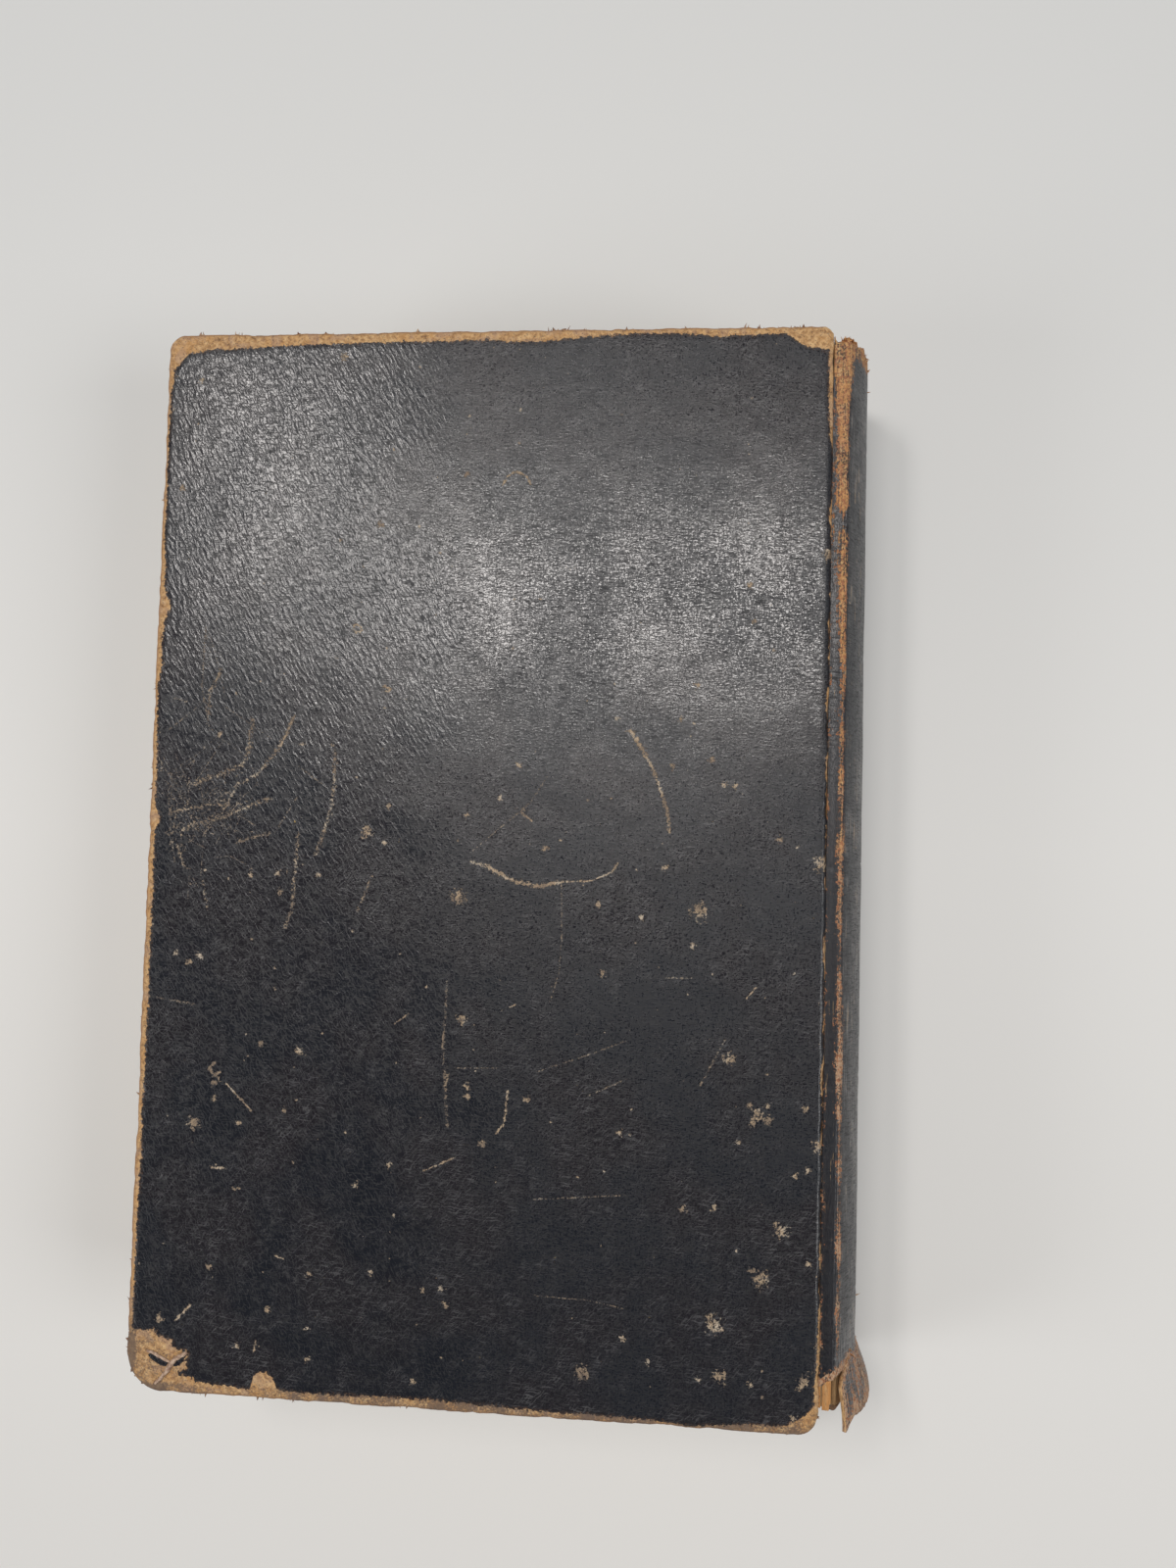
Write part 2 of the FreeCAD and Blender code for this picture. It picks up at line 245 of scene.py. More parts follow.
near_floor = Wire(floor_nodes, floor_nodes.nodes["Principled BSDF"].outputs[0])
seen = start.node("LightPath")
away = place.node("VectorMath", {"operation": "LENGTH"}, {0: place}, "Value")
distance = start.node("Emission", {}, {"Color": distance_colour})
fading = start.node("MixShader", {}, {0: away.rise(330, 1100) * seen, 1: near_floor, 2: distance})
floor_nodes.links.new(fading.socket, floor_nodes.nodes["Material Output"].inputs["Surface"])

world = bpy.data.worlds.new("room")
world.use_nodes = True
room = Wire(world.node_tree)
room_light = room.node("Background", {}, {"Color": (0.86, 0.87, 0.88, 1), "Strength": 0.19})
room_distance = room.node("Background", {}, {"Color": distance_colour, "Strength": 1.0})
room_seen = room.node("MixShader", {}, {0: room.node("LightPath"), 1: room_light, 2: room_distance})
world.node_tree.links.new(room_seen.socket, world.node_tree.nodes["World Output"].inputs["Surface"])
bpy.context.scene.world = world


def soft_lamp(name, place, aim, size, power, colour=(1, 1, 1)):
    """A flat lamp of soft light at a place, turned towards another, with its long side along the head."""
    data = bpy.data.lights.new(name, "AREA")
    data.shape = "RECTANGLE"
    data.size, data.size_y = (side * mm for side in size)
    data.energy = power
    data.color = colour
    lamp = bpy.data.objects.new(name, data)
    lamp.location = Vector(place) * mm
    back = (Vector(place) - Vector(aim)).normalized()
    side = (Vector((1, 0, 0)) - back * back.x).normalized()
    lamp.rotation_euler = Matrix((side, back.cross(side), back)).transposed().to_euler()
    bpy.context.collection.objects.link(lamp)


warm_white = (1, 0.955, 0.92)
soft_lamp("ceiling", (-310, 410, 1150), (0, 0, 0), (560, 480), 0.28)
soft_lamp("window", (-470, 440, 1140), (-56, 93, 44), (150, 330), 2.5, warm_white)
soft_lamp("lamp_strip", (-10, 288, 1140), (30, 63, 44), (560, 160), 5.1, warm_white)
soft_lamp("right_wall", (950, -250, 900), (0, 0, 0), (600, 600), 5.4)
soft_lamp("left_wall", (-1200, -450, 700), (0, 0, 0), (600, 600), 5.2)

# The leather of the back cover: one skin of blue-black goatskin over the pasteboard, turned in over three
# of its edges. It is rubbed through to tan suede along every edge, bare at the tail's outer corner, and
# scuffed all over. The mesh is a dense grid over the top, with rings round the edges to the turn-ins' end.
cover_half = (cover_high[:2] - cover_low[:2]) / 2
joint_x = cover_high[0]
outer_edge_round = 1.2
inner_edge_round = 0.45
cover_leather_thickness = 0.8
turn_in_width = 15.0
board_underside = cover_low[2] + 0.5
back_corner_rounds = (9.0, 4.8, 2.6, 4.0)
leather_cell = 0.8


def grid_faces(rows, columns, first=0):
    """Quads between neighbouring points of a grid that is numbered row by row."""
    number = first + np.arange(rows * columns).reshape(rows, columns)
    corners = [number[:-1, :-1], number[:-1, 1:], number[1:, 1:], number[1:, :-1]]
    return np.stack(corners, axis=-1).reshape(-1, 4)


def share(value, start, end):
    """How far a value has come from the start to the end: 0 before the start and 1 past the end."""
    return np.clip((value - start) / (end - start), 0, 1)


def smooth(part):
    """A share with its two ends eased."""
    return part * part * (3 - 2 * part)


def columns(*parts):
    """One row for each point, from numbers or grids of numbers that match."""
    return np.column_stack([part.ravel() for part in np.broadcast_arrays(*parts)])


def on_line(places, marks, line):
    """Points on a line of points, at places on the scale that marks its points."""
    return np.stack([np.interp(places, marks, part) for part in line.T], axis=-1)


def new_piece(name, points, faces, materials, body, *nodes):
    """A smooth mesh from points in millimetres, riding on a body and standing for CAD nodes."""
    mesh = bpy.data.meshes.new(name)
    mesh.from_pydata((np.asarray(points) * mm).tolist(), [], [tuple(face) for face in faces])
    mesh.validate()
    mesh.shade_smooth()
    for material in materials:
        mesh.materials.append(material)
    piece = bpy.data.objects.new(name, mesh)
    bpy.context.collection.objects.link(piece)
    if body:
        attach(piece, body)
    if nodes:
        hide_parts(*nodes)
    return piece


def mark_points(piece, name, values):
    """Stores a number or a vector for each point of a piece, for its material to read."""
    single = values.ndim == 1
    layer = piece.data.attributes.new(name, "FLOAT" if single else "FLOAT_VECTOR", "POINT")
    layer.data.foreach_set("value" if single else "vector", values.astype(np.float32).ravel())


def waves(x, y, size, seed):
    """Smooth noise from -1 to 1: random heights on a lattice of this size, joined by smooth steps."""
    lattice = np.random.default_rng(seed).uniform(-1, 1, (97, 97))
    u, v = x / size + 48, y / size + 48
    i, j = np.floor(u).astype(int), np.floor(v).astype(int)
    f, g = smooth(u - i), smooth(v - j)
    i, j = i % 96, j % 96
    low = lattice[i, j] * (1 - f) + lattice[i + 1, j] * f
    high = lattice[i, j + 1] * (1 - f) + lattice[i + 1, j + 1] * f
    return low * (1 - g) + high * g


def cover_surface(rounds, cell):
    """A cover's skin about its own middle: X, Y, height above the turn-ins, and faces.

    A grid over the top has its corners rounded by mapping each corner's square onto a quarter disc:
    x = s * sqrt(1 - t^2 / 2), y = t * sqrt(1 - s^2 / 2). From the grid's border, rings go outwards round the
    edge by the profile's distance and then inwards towards a point on an inner rectangle, which mitres them.
    """
    flat = cover_half - outer_edge_round
    counts = np.round(2 * flat / cell).astype(int) + 1
    x, y = np.meshgrid(*(np.linspace(-half, half, n) for half, n in zip(flat, counts)))
    normal = np.zeros(x.shape + (2,))
    normal[:, 0, 0], normal[:, -1, 0] = -1, 1
    normal[0, :, 1], normal[-1, :, 1] = -1, 1
    for (sx, sy), outer in zip([(-1, -1), (1, -1), (1, 1), (-1, 1)], rounds):
        r = outer - outer_edge_round
        s, t = (x * sx - flat[0] + r) / r, (y * sy - flat[1] + r) / r
        inside = (s >= 0) & (t >= 0)
        s, t = s[inside], t[inside]
        across, along = s * np.sqrt(1 - t * t / 2), t * np.sqrt(1 - s * s / 2)
        length = np.maximum(np.hypot(across, along), 1e-9)
        normal[inside] = np.stack([sx * across / length, sy * along / length], axis=1)
        x[inside] = sx * (flat[0] - r + across * r)
        y[inside] = sy * (flat[1] - r + along * r)
    top_count = x.size
    number = np.arange(top_count).reshape(x.shape)
    border = np.concatenate([number[0, :-1], number[:-1, -1], number[-1, :0:-1], number[:0:-1, 0]])
    start = np.stack([x.ravel()[border], y.ravel()[border]], axis=1)
    outward = normal.reshape(-1, 2)[border]
    thickness = cover_high[2] - cover_low[2]
    board_top = thickness - cover_leather_thickness
    turned_in = board_underside - cover_low[2]
    arc = np.radians(np.linspace(15, 90, 6))
    profile = [(outer_edge_round * math.sin(a), thickness - outer_edge_round * (1 - math.cos(a))) for a in arc]
    side = np.linspace(thickness - outer_edge_round, inner_edge_round, 5)[1:]
    profile += [(outer_edge_round, z) for z in side]
    profile += [(outer_edge_round - inner_edge_round * (1 - math.cos(a)), inner_edge_round * (1 - math.sin(a)))
                for a in np.radians((30, 60, 90))]
    profile += [(-d, 0.0) for d in np.linspace(0.2, turn_in_width - outer_edge_round, 9)]
    profile += [(outer_edge_round - turn_in_width, turned_in)]
    board_edge = outer_edge_round - cover_leather_thickness
    profile += [(board_edge, turned_in), (board_edge, board_top - 0.6), (board_edge - 0.6, board_top)]
    mitre = turn_in_width + 1
    inner = np.clip(start, mitre - flat, flat - mitre)
    rings = []
    for out, z in profile:
        ring = start + outward * out if out > 0 else start + (inner - start) * (-out / mitre)
        rings.append(np.column_stack([ring, np.full(len(ring), z)]))
    points = np.concatenate([np.column_stack([x.ravel(), y.ravel(), np.full(top_count, thickness)])] + rings)
    loops = [border] + [top_count + k * len(border) + np.arange(len(border)) for k in range(len(profile))]
    faces = [grid_faces(*x.shape)]
    for near, far in zip(loops, loops[1:]):
        faces.append(np.stack([near, far, np.roll(far, -1), np.roll(near, -1)], axis=1))
    faces = [tuple(face) for face in np.concatenate(faces)] + [tuple(loops[-1])]
    return points, faces


def line_distance(x, y, line):
    """For each point, the offset from the nearest stretch of a line (left positive), how far it lies past
    that stretch's ends, and how far away the line is."""
    line = np.asarray(line, float)
    best = np.full(x.shape, np.inf)
    offset, beyond = np.zeros(x.shape), np.zeros(x.shape)
    for first, last in zip(line, line[1:]):
        step = last - first
        length = math.hypot(*step)
        ux, uy = step / length
        forward = (x - first[0]) * ux + (y - first[1]) * uy
        sideways = (y - first[1]) * ux - (x - first[0]) * uy
        over = np.abs(forward - np.clip(forward, 0, length))
        away = np.hypot(sideways, over)
        nearer = away < best
        best = np.where(nearer, away, best)
        offset = np.where(nearer, sideways, offset)
        beyond = np.where(nearer, over, beyond)
    return offset, beyond, best


def inside_outline(x, y, outline):
    """Signed distance to a closed outline, positive inside: an odd number of crossings says inside."""
    closed = np.vstack([outline, outline[:1]])
    distance = line_distance(x, y, closed)[2]
    odd = np.zeros(x.shape, bool)
    for (x1, y1), (x2, y2) in zip(closed, closed[1:]):
        crosses = (y1 > y) != (y2 > y)
        odd ^= crosses & (x < (x2 - x1) * (y - y1) / (y2 - y1 + 1e-12) + x1)
    return np.where(odd, distance, -distance)


def nearest_marks(x, y, marks, reach=1.6):
    """Where the nearest mark is, as a vector for each point: the offset and overrun from a line, or the way
    to a spot's middle, divided by the mark's half width. Last comes its strength, which is 0 away from it."""
    vector = np.zeros(x.shape + (3,))
    best = np.full(x.shape, np.inf)
    for mark, half_width, strength in marks:
        if len(mark) == 1:
            first, second = x - mark[0][0], y - mark[0][1]
            away = np.hypot(first, second)
        else:
            first, second, away = line_distance(x, y, mark)
        nearer = away - half_width < best
        best = np.where(nearer, away - half_width, best)
        near = share(away - half_width, reach, 0.6 * reach)
        vector[nearer] = columns(first / half_width, second / half_width, near * strength)[nearer]
    return vector


# Where the leather is rubbed through, in the photograph's pixels: the lines where the tan rim gives way to
# black on each side, and the bare patch at the tail's outer corner with two islands of black leather.
rim_head = [(150, 372), (178, 378), (187, 368), (192, 361), (200, 359), (220, 357), (300, 352), (400, 349),
            (500, 347), (549, 349), (600, 343), (640, 341), (687, 340), (730, 343), (758, 342), (804, 340),
            (821, 353), (842, 357)]
rim_fore = [(177, 391), (174, 400), (173, 430), (171, 470), (170, 500), (168, 560), (169, 605), (175, 618),
            (168, 632), (165, 660), (165, 682), (161, 700), (160, 760), (158, 822), (164, 835), (157, 848),
            (156, 900), (153, 960), (151, 1020), (148, 1080), (145, 1130), (144, 1180), (140, 1240),
            (137, 1300), (135, 1350)]
rim_tail = [(200, 1411), (240, 1416), (256, 1419), (258, 1405), (264, 1400), (273, 1401), (280, 1409),
            (282, 1418), (290, 1420), (330, 1423), (420, 1427), (520, 1437), (620, 1446), (670, 1450),
            (703, 1456), (769, 1454), (799, 1456), (819, 1447), (834, 1432)]
rim_joint = [(846, 345), (846, 420), (849, 470), (847, 540), (843, 800), (839, 1060), (837, 1300),
             (834, 1390), (831, 1420), (829, 1440)]
bare_corner = [(118, 1356), (140, 1357), (148, 1359), (155, 1356), (160, 1359), (158, 1362), (167, 1365),
               (176, 1368), (175, 1373), (182, 1378), (191, 1379), (193, 1384), (190, 1389), (190, 1396),
               (184, 1400), (179, 1399), (182, 1404), (196, 1406), (200, 1411), (216, 1428), (110, 1440)]
black_islands = [[(149, 1379), (159, 1382), (166, 1387), (172, 1391), (168, 1396), (161, 1392), (153, 1387)],
                 [(188, 1381), (187, 1389), (181, 1395), (175, 1395), (178, 1388)]]

# Scuffs and spots, also in the photograph's pixels: a spot is its middle, and its radius where that isn't
# the usual one. A scuff is its half width and the points that it runs through.
usual_spot = 3
spots = [(352, 364, 4), (388, 534), (427, 537, 2), (186, 498), (205, 388), (374, 849, 6), (396, 822),
         (392, 859), (224, 749), (308, 758), (339, 760, 2), (476, 484, 2.5), (467, 915, 6.5), (714, 930, 8),
         (655, 936), (610, 923), (679, 886), (510, 814), (476, 832), (530, 781), (556, 866), (739, 801),
         (750, 802), (726, 775), (695, 733, 2.5), (712, 699), (630, 733), (686, 781), (765, 597),
         (770, 634, 2.5), (795, 857), (203, 975, 4), (193, 982), (179, 972), (218, 1105), (218, 1121),
         (197, 1146, 6), (243, 1146), (305, 1072, 4), (267, 1065), (290, 1133, 2.5), (362, 1209),
         (397, 1188), (471, 1040, 4.5), (476, 1109), (476, 1119), (492, 1167), (538, 1122), (633, 1157),
         (615, 994), (744, 1080, 5), (707, 965), (822, 1131), (753, 1167), (798, 1257, 6), (792, 1250),
         (811, 1200), (824, 1195), (825, 1290), (767, 1297), (728, 1232), (697, 1234), (378, 1298),
         (315, 1300), (273, 1337), (450, 1316), (454, 1331), (430, 1317, 2.5), (421, 1410), (594, 1401, 6),
         (635, 1367), (661, 1391), (777, 1306, 6.5), (724, 1343), (729, 1353, 8), (734, 1405, 5.5),
         (766, 1412), (712, 1409), (820, 1410, 4.5), (816, 1416), (809, 1447), (313, 1356), (314, 1387),
         (241, 1373), (213, 1293), (162, 1346, 4), (256, 893), (283, 890), (285, 910), (325, 892),
         (846, 565, 5), (838, 881, 7), (837, 1171, 7), (836, 1373, 4), (836, 1391, 4), (774, 1136, 5),
         (765, 1128), (783, 1143, 4), (768, 1146), (784, 1128)]
scuffs = [(1.2, (513, 494), (518, 485), (527, 481), (537, 485), (541, 494)), (1.2, (299, 734), (285, 764)),
          (1.0, (527, 825), (543, 838)), (1.4, (194, 1332), (179, 1347)), (1.0, (261, 1367), (258, 1381)),
          (2.6, (643, 746), (652, 758), (659, 771)),
          (1.7, (659, 771), (666, 784), (673, 803), (681, 828), (683, 849)),
          (2.2, (481, 879), (497, 884), (512, 893), (526, 900), (548, 905), (573, 900)),
          (1.0, (573, 900), (603, 899), (624, 890), (632, 879)), (1.3, (215, 1191), (230, 1192)),
          (1.3, (237, 1213), (245, 1213)), (1.0, (230, 1105), (256, 1133)),
          (1.1, (518, 1113), (514, 1147), (505, 1158)), (0.9, (430, 1196), (464, 1181)),
          (0.8, (520, 1028), (527, 1025)), (0.9, (402, 1045), (416, 1035)), (0.9, (772, 1007), (760, 1021)),
          (1.0, (280, 1281), (289, 1285)), (1.4, (219, 1084), (213, 1090), (219, 1097), (225, 1094)),
          (1.1, (360, 638), (365, 637), (370, 642), (365, 647), (360, 642)),
          (1.3, (392, 700), (398, 702), (398, 706), (392, 705)), (0.9, (453, 1052), (451, 1068)),
          (1.2, (457, 1096), (454, 1112))]
dragged = [(2.6, (257, 735), (254, 767), (246, 781), (222, 791), (195, 800)),
           (2.2, (173, 829), (215, 820), (230, 822)),
           (2.6, (186, 846), (207, 838), (226, 834), (254, 823), (275, 815)), (1.8, (242, 859), (275, 850)),
           (2.2, (300, 731), (290, 752), (281, 768), (262, 790), (242, 801), (228, 826)),
           (1.2, (206, 822), (224, 821)), (2.0, (226, 684), (214, 705), (213, 728)),
           (1.6, (181, 862), (187, 885)), (1.4, (207, 900), (211, 928)),
           (2.2, (342, 770), (341, 800), (338, 824), (330, 850), (322, 872)), (1.3, (380, 893), (364, 930)),
           (2.0, (304, 850), (302, 875), (300, 905), (297, 930), (290, 946)), (1.2, (178, 712), (190, 716))]
scratches = [(0.7, (193, 798), (230, 822), (262, 844)), (0.9, (171, 807), (178, 881)),
             (0.8, (305, 782), (320, 794), (332, 802)), (1.1, (156, 1017), (198, 1025)),
             (0.8, (547, 1094), (593, 1079), (640, 1062)), (0.9, (598, 1119), (640, 1101)),
             (0.7, (464, 1090), (507, 1090)), (0.8, (545, 1224), (638, 1220)),
             (0.9, (740, 1061), (714, 1108)), (1.0, (678, 998), (706, 998)),
             (0.9, (210, 640), (206, 700), (214, 745)), (0.7, (480, 870), (540, 820), (560, 790)),
             (0.7, (573, 905), (573, 960), (570, 994), (561, 1023)),
             (1.3, (456, 1000), (452, 1075), (456, 1150)), (0.6, (541, 1322), (599, 1327), (637, 1336)),
             (0.8, (160, 770), (200, 842)), (0.7, (168, 850), (236, 806)), (0.7, (206, 852), (262, 800)),
             (0.8, (280, 850), (304, 812)), (0.7, (172, 745), (212, 712))]


def marks_in_layers(level, kinds, layers=3, apart=13.0):
    """Turns marks from pixels to millimetres on the cover, and deals near ones out to different layers."""
    pixel = 0.224
    dealt = [[] for _ in range(layers)]
    for strength, marks in kinds:
        for half_width, *line in marks:
            points = at_level(line, level)
            middle = points.mean(axis=0)
            crowd = [sum(np.hypot(*(other.mean(axis=0) - middle)) < apart for other, *_ in layer)
                     for layer in dealt]
            dealt[int(np.argmin(crowd))].append((points, half_width * pixel, strength))
    return dealt


cover_points, cover_faces = cover_surface(back_corner_rounds, leather_cell)
x = cover_points[:, 0] + cover_middle[0]
y = cover_points[:, 1] + cover_middle[1]
level = cover_high[2]
bare = np.maximum.reduce([
    y - np.interp(x, *at_level(rim_head, level).T),
    np.interp(y, *at_level(rim_fore[::-1], level).T[::-1]) - x,
    np.interp(x, *at_level(rim_tail, level).T) - y,
    x - np.interp(y, *at_level(rim_joint[::-1], level).T[::-1]),
    np.minimum(inside_outline(x, y, at_level(bare_corner, level)), 6.0)])
for island in black_islands:
    bare = np.minimum(bare, 0.2 - 5 * inside_outline(x, y, at_level(island, level)))
under = cover_high[2] - cover_low[2] - cover_points[:, 2]
edge_share = share(under, 0, outer_edge_round)
edge_wear = 0.8
rim_red = 1.7
at_joint = share(x, joint_x - 3, joint_x - 1.5)
joint_gaps = 1.5 * np.clip(waves(x, y, 3.5, 8) + 0.6 * waves(x, y, 1.2, 9) + 0.55, 0, 1) * (np.abs(y) < 98)
bare = bare + edge_wear * edge_share - at_joint * joint_gaps
worn = share(bare, -0.25, 0.25)
swell = 0.10 * waves(x, y, 34, 1) + 0.05 * waves(x, y, 11, 2) + 0.02 * waves(x, y, 4, 3)
ragged = 0.05 * waves(x, y, 1.7, 4)
dented = swell - 0.12 - worn * (0.09 + ragged)
height = cover_points[:, 2] + cover_low[2] + (under < outer_edge_round) * dented
frayed = 0.28 * waves(x + y, x - y, 5, 5) + 0.17 * waves(x + y, x - y, 1.6, 6)
from_middle = np.stack([x - cover_middle[0], y - cover_middle[1]], axis=1)
outside = share(np.abs(from_middle), cover_half - 1.6, cover_half) * np.sign(from_middle)
edge_push = outside * np.minimum(frayed, 0.12)[:, None]
back_points = columns(x + edge_push[:, 0], y + edge_push[:, 1], height)


def suede_colour(place, rim=0.0):
    """Raw tan leather: mottled fibres in patches of orange, buff and mauve, with black specks, and red-brown
    where rim nears 1. Also its height."""
    mottle = place.noise(1.0, 4.0, 0.64)
    suede = mottle.ramp((0.30, (0.19, 0.105, 0.05)), (0.43, (0.40, 0.225, 0.095)), (0.56, (0.56, 0.35, 0.165)),
                        (0.72, (0.66, 0.455, 0.235)))
    suede = suede.mixed((0.50, 0.26, 0.09), place.noise(6, 3.0, 0.6).rise(0.50, 0.64) * 0.45)
    suede = suede.mixed((0.36, 0.245, 0.19), place.shaken(9, 9).noise(5, 3.0, 0.6).rise(0.50, 0.64) * 0.4)
    suede = suede.mixed((0.05, 0.04, 0.04), place.noise(0.36, 3.0, 0.65).rise(0.565, 0.65) * 0.7)
    if rim:
        suede = suede.mixed((0.27, 0.125, 0.055), (rim + (mottle - 0.5) * 1.6).rise(0.45, 1.0) * 0.7)
    return suede, mottle * 0.3


def leather_paint(name, streaks=0.0):
    """Fine-grained black goatskin: light grey on its grain's tops, partly rubbed wear and partly a painted
    highlight of its sheen, with painted shade in its cracks, tan where scuffed, raw suede where bare.

    It reads the piece's own numbers: skin (place on the flattened skin, in mm), bare (distance into bare
    leather, in mm), rim (1 at the outermost edge), grime (0 to 1, how much darker the suede is),
    worn (more rubbing above 0, less below it), gilt (0 to 1, worn gold leaf) and the layers of marks. A piece
    that lacks one reads 0 there.
    streaks is how strongly the spine's long streaks show, and the covers have none.
    """
    bits_apart = 6.0
    material, start, place = new_material(name)

    def read(attribute, output="Fac"):
        return start.node("Attribute", {"attribute_name": attribute}, output=output)

    skin = read("skin", "Vector")
    x, y, _ = skin.parts()
    wrinkled = skin.shaken(2.6, 0.9)
    broad = skin.flat_noise(24, 3.0)
    patchy = skin.flat_noise(5.5, 3.0, 0.6)
    fine = skin.flat_noise(0.5, 2.0, 0.6)
    threads = (skin.flat_noise(0.30, 1.0, 0.5, 4.0, 87) + skin.flat_noise(0.30, 1.0, 0.5, 4.0, -3)) * 0.5
    if streaks:
        grain = wrinkled.flat_noise(0.5, 2.0, 0.5, 3.0, 90)
        steepness = 0.05
        rub_and_highlight_share = 1.0
    else:
        towards_joint = (x + (broad - 0.5) * 80).rise(-40, 15)
        slanted = wrinkled.flat_noise(0.72, 1.0, 0.4, 3.2, -62)
        level_grain = wrinkled.flat_noise(0.5, 1.5, 0.5, 2.2, 3)
        grain = slanted + (level_grain - slanted) * towards_joint
        steepness = 0.085 - towards_joint * 0.063
        rub_and_highlight_share = 1 - towards_joint * 0.3
    ridges = grain.rise(0.36, 0.60)
    cracks = 1 - (grain - 0.5).unsigned().rise(0.0, 0.06)
    polished = (threads * 0.55 + fine * 0.45 + (patchy - 0.5) * 0.12 + (broad - 0.5) * 0.25).rise(0.475, 0.545)
    if streaks:
        polished = polished * 0.25
    else:
        polished = polished * (0.35 + towards_joint * 0.65) + (1 - towards_joint) * (1 - cracks) * 0.65

    rubbing = (broad * 0.5 + patchy * 0.5 + read("worn") * 0.3).rise(0.36, 0.70)
    black = broad.ramp((0.40, (0.0045, 0.0060, 0.0110)), (0.60, (0.0090, 0.0072, 0.0105)))
    black = black.mixed((0.016, 0.0145, 0.0185), patchy.rise(0.46, 0.72) * 0.35)
    # Light grey on the grain's tops: partly rubbed wear, partly a painted highlight of the leather's sheen.
    rubbed_and_highlight = ridges * fine.rise(0.44, 0.70) * (0.01 + rubbing * 0.12) * rub_and_highlight_share
    leather = black.mixed((0.096, 0.098, 0.118), rubbed_and_highlight)
    # Painted shade: the grain's cracks, which are grooves in the height below, are darkened nearly to black.
    leather = leather.mixed((0.004, 0.0045, 0.006), cracks * 0.6)
    hairs = wrinkled.flat_noise(0.3, 2.0, 0.5, 12, -4)
    dark_hairs = hairs.rise(0.45, 0.34)
    crossing = wrinkled.flat_noise(0.3, 2.0, 0.5, 9, 48)
    leather = leather.mixed((0.16, 0.16, 0.165), hairs.highest(crossing).rise(0.58, 0.67) * rubbing * 0.38)
    leather = leather.mixed((0.003, 0.0035, 0.006), dark_hairs * 0.8)
    if streaks:
        streak = skin.flat_noise(0.45, 3.0, 0.62, 30, 90)
        leather = leather.mixed((0.25, 0.24, 0.23), streak.rise(0.50, 0.66) * rubbing * streaks)
        leather = leather.mixed((0.42, 0.27, 0.13), streak.rise(0.66, 0.70) * patchy.rise(0.5, 0.56) * 0.8)

    torn = skin.flat_noise(0.9, 3.0, 0.65)
    crumbled = (fine - 0.5) * 2.2 + (patchy - 0.5) * 1.2 + (torn - 0.5) * 4.0
    chips = skin.flat_noise(0.6, 3.0, 0.7)
    bit_size = wrinkled.cells(bits_apart, "Color").parts()[0]
    bits = (bit_size - 0.80) * 0.30 - wrinkled.cells(bits_apart) + (fine - 0.5) * 0.16
    scuffed = bits.rise(0.0, 0.03) * 0.75
    for layer in ("marks_a", "marks_b", "marks_c"):
        first, second, strength = read(layer, "Vector").parts()
        away = first.math("SQRT", first * first + second * second)
        chipped = (chips + strength * 0.15).rise(0.53, 0.61) * strength.rise(0.0, 0.45)
        scuffed = scuffed.highest((away + crumbled).rise(1.0, 0.5) * chipped)
    scuff_colour = patchy.ramp((0.36, (0.26, 0.19, 0.13)), (0.50, (0.46, 0.34, 0.22)),
                               (0.64, (0.60, 0.50, 0.38)))
    leather = leather.mixed(scuff_colour, scuffed * (0.5 + fine.rise(0.3, 0.6) * 0.45))
    gilt = (read("gilt") + (fine - 0.5) * 1.4 + (patchy - 0.5) * 1.8).rise(0.75, 0.95)
    leather = leather.mixed((0.42, 0.29, 0.10), gilt)

    depth_in = read("bare") + (patchy - 0.5) * 0.8 + (torn - 0.5) * 1.9
    if streaks:
        depth_in = depth_in + (streak - 0.5) * 2.0 + (torn - 0.5) * 1.3 + (chips - 0.5) * 2.0
    thin = depth_in.rise(-0.7, 0.05) * fine.rise(0.35, 0.7)
    leather = leather.mixed((0.10, 0.055, 0.03), thin * 0.7)
    bare = depth_in.rise(-0.04, 0.16)
    suede, fibres = suede_colour(place, read("rim"))
    if streaks:
        suede = suede.mixed((0.52, 0.25, 0.09), patchy.rise(0.40, 0.54) * 0.6)
        suede = suede.mixed((0.27, 0.10, 0.055), torn.rise(0.49, 0.58) * 0.75)
        suede = suede.mixed((0.43, 0.30, 0.21), y.rise(20, -30) * torn.rise(0.60, 0.45) * 0.8)
        flecks = chips * 0.6 + streak * 0.4 + (patchy - 0.5) * 0.3
        suede = suede.mixed((0.030, 0.027, 0.030), flecks.rise(0.485, 0.42) * 0.85)
    # The suede is darker and browner in patches, most of all along the back cover's tail edge and round its
    # bare corner.
    grime = (read("grime") + (patchy - 0.5) * 2.2 + (fine - 0.5) * 2).rise(0.3, 1.2)
    suede = suede.mixed((0.105, 0.075, 0.062), grime * 0.8)
    colour = leather.mixed(suede, bare)

    height = (grain * steepness + threads * 0.014 - cracks * 0.008 + patchy * 0.02) * (1 - bare)
    height = height + bare * (fibres - 0.06) - scuffed * 0.03
    dullness = 0.375 - polished * 0.235 + cracks.highest(dark_hairs) * 0.24
    roughness = dullness + (0.92 - dullness) * bare.highest(scuffed * 0.8)
    return finish_material(material, colour, roughness, height, IOR=1.55)


def spread_skin(points, level):
    """Place on the flattened skin of a cover: X and Y, run on over the edges by the depth below the level."""
    from_middle = points[:, :2] - cover_middle[:2]
    past = np.abs(from_middle) > cover_half - 1.3
    spread = points[:, :2] + past * np.sign(from_middle) * np.abs(points[:, 2:] - level)
    return columns(spread[:, 0], spread[:, 1], 0)


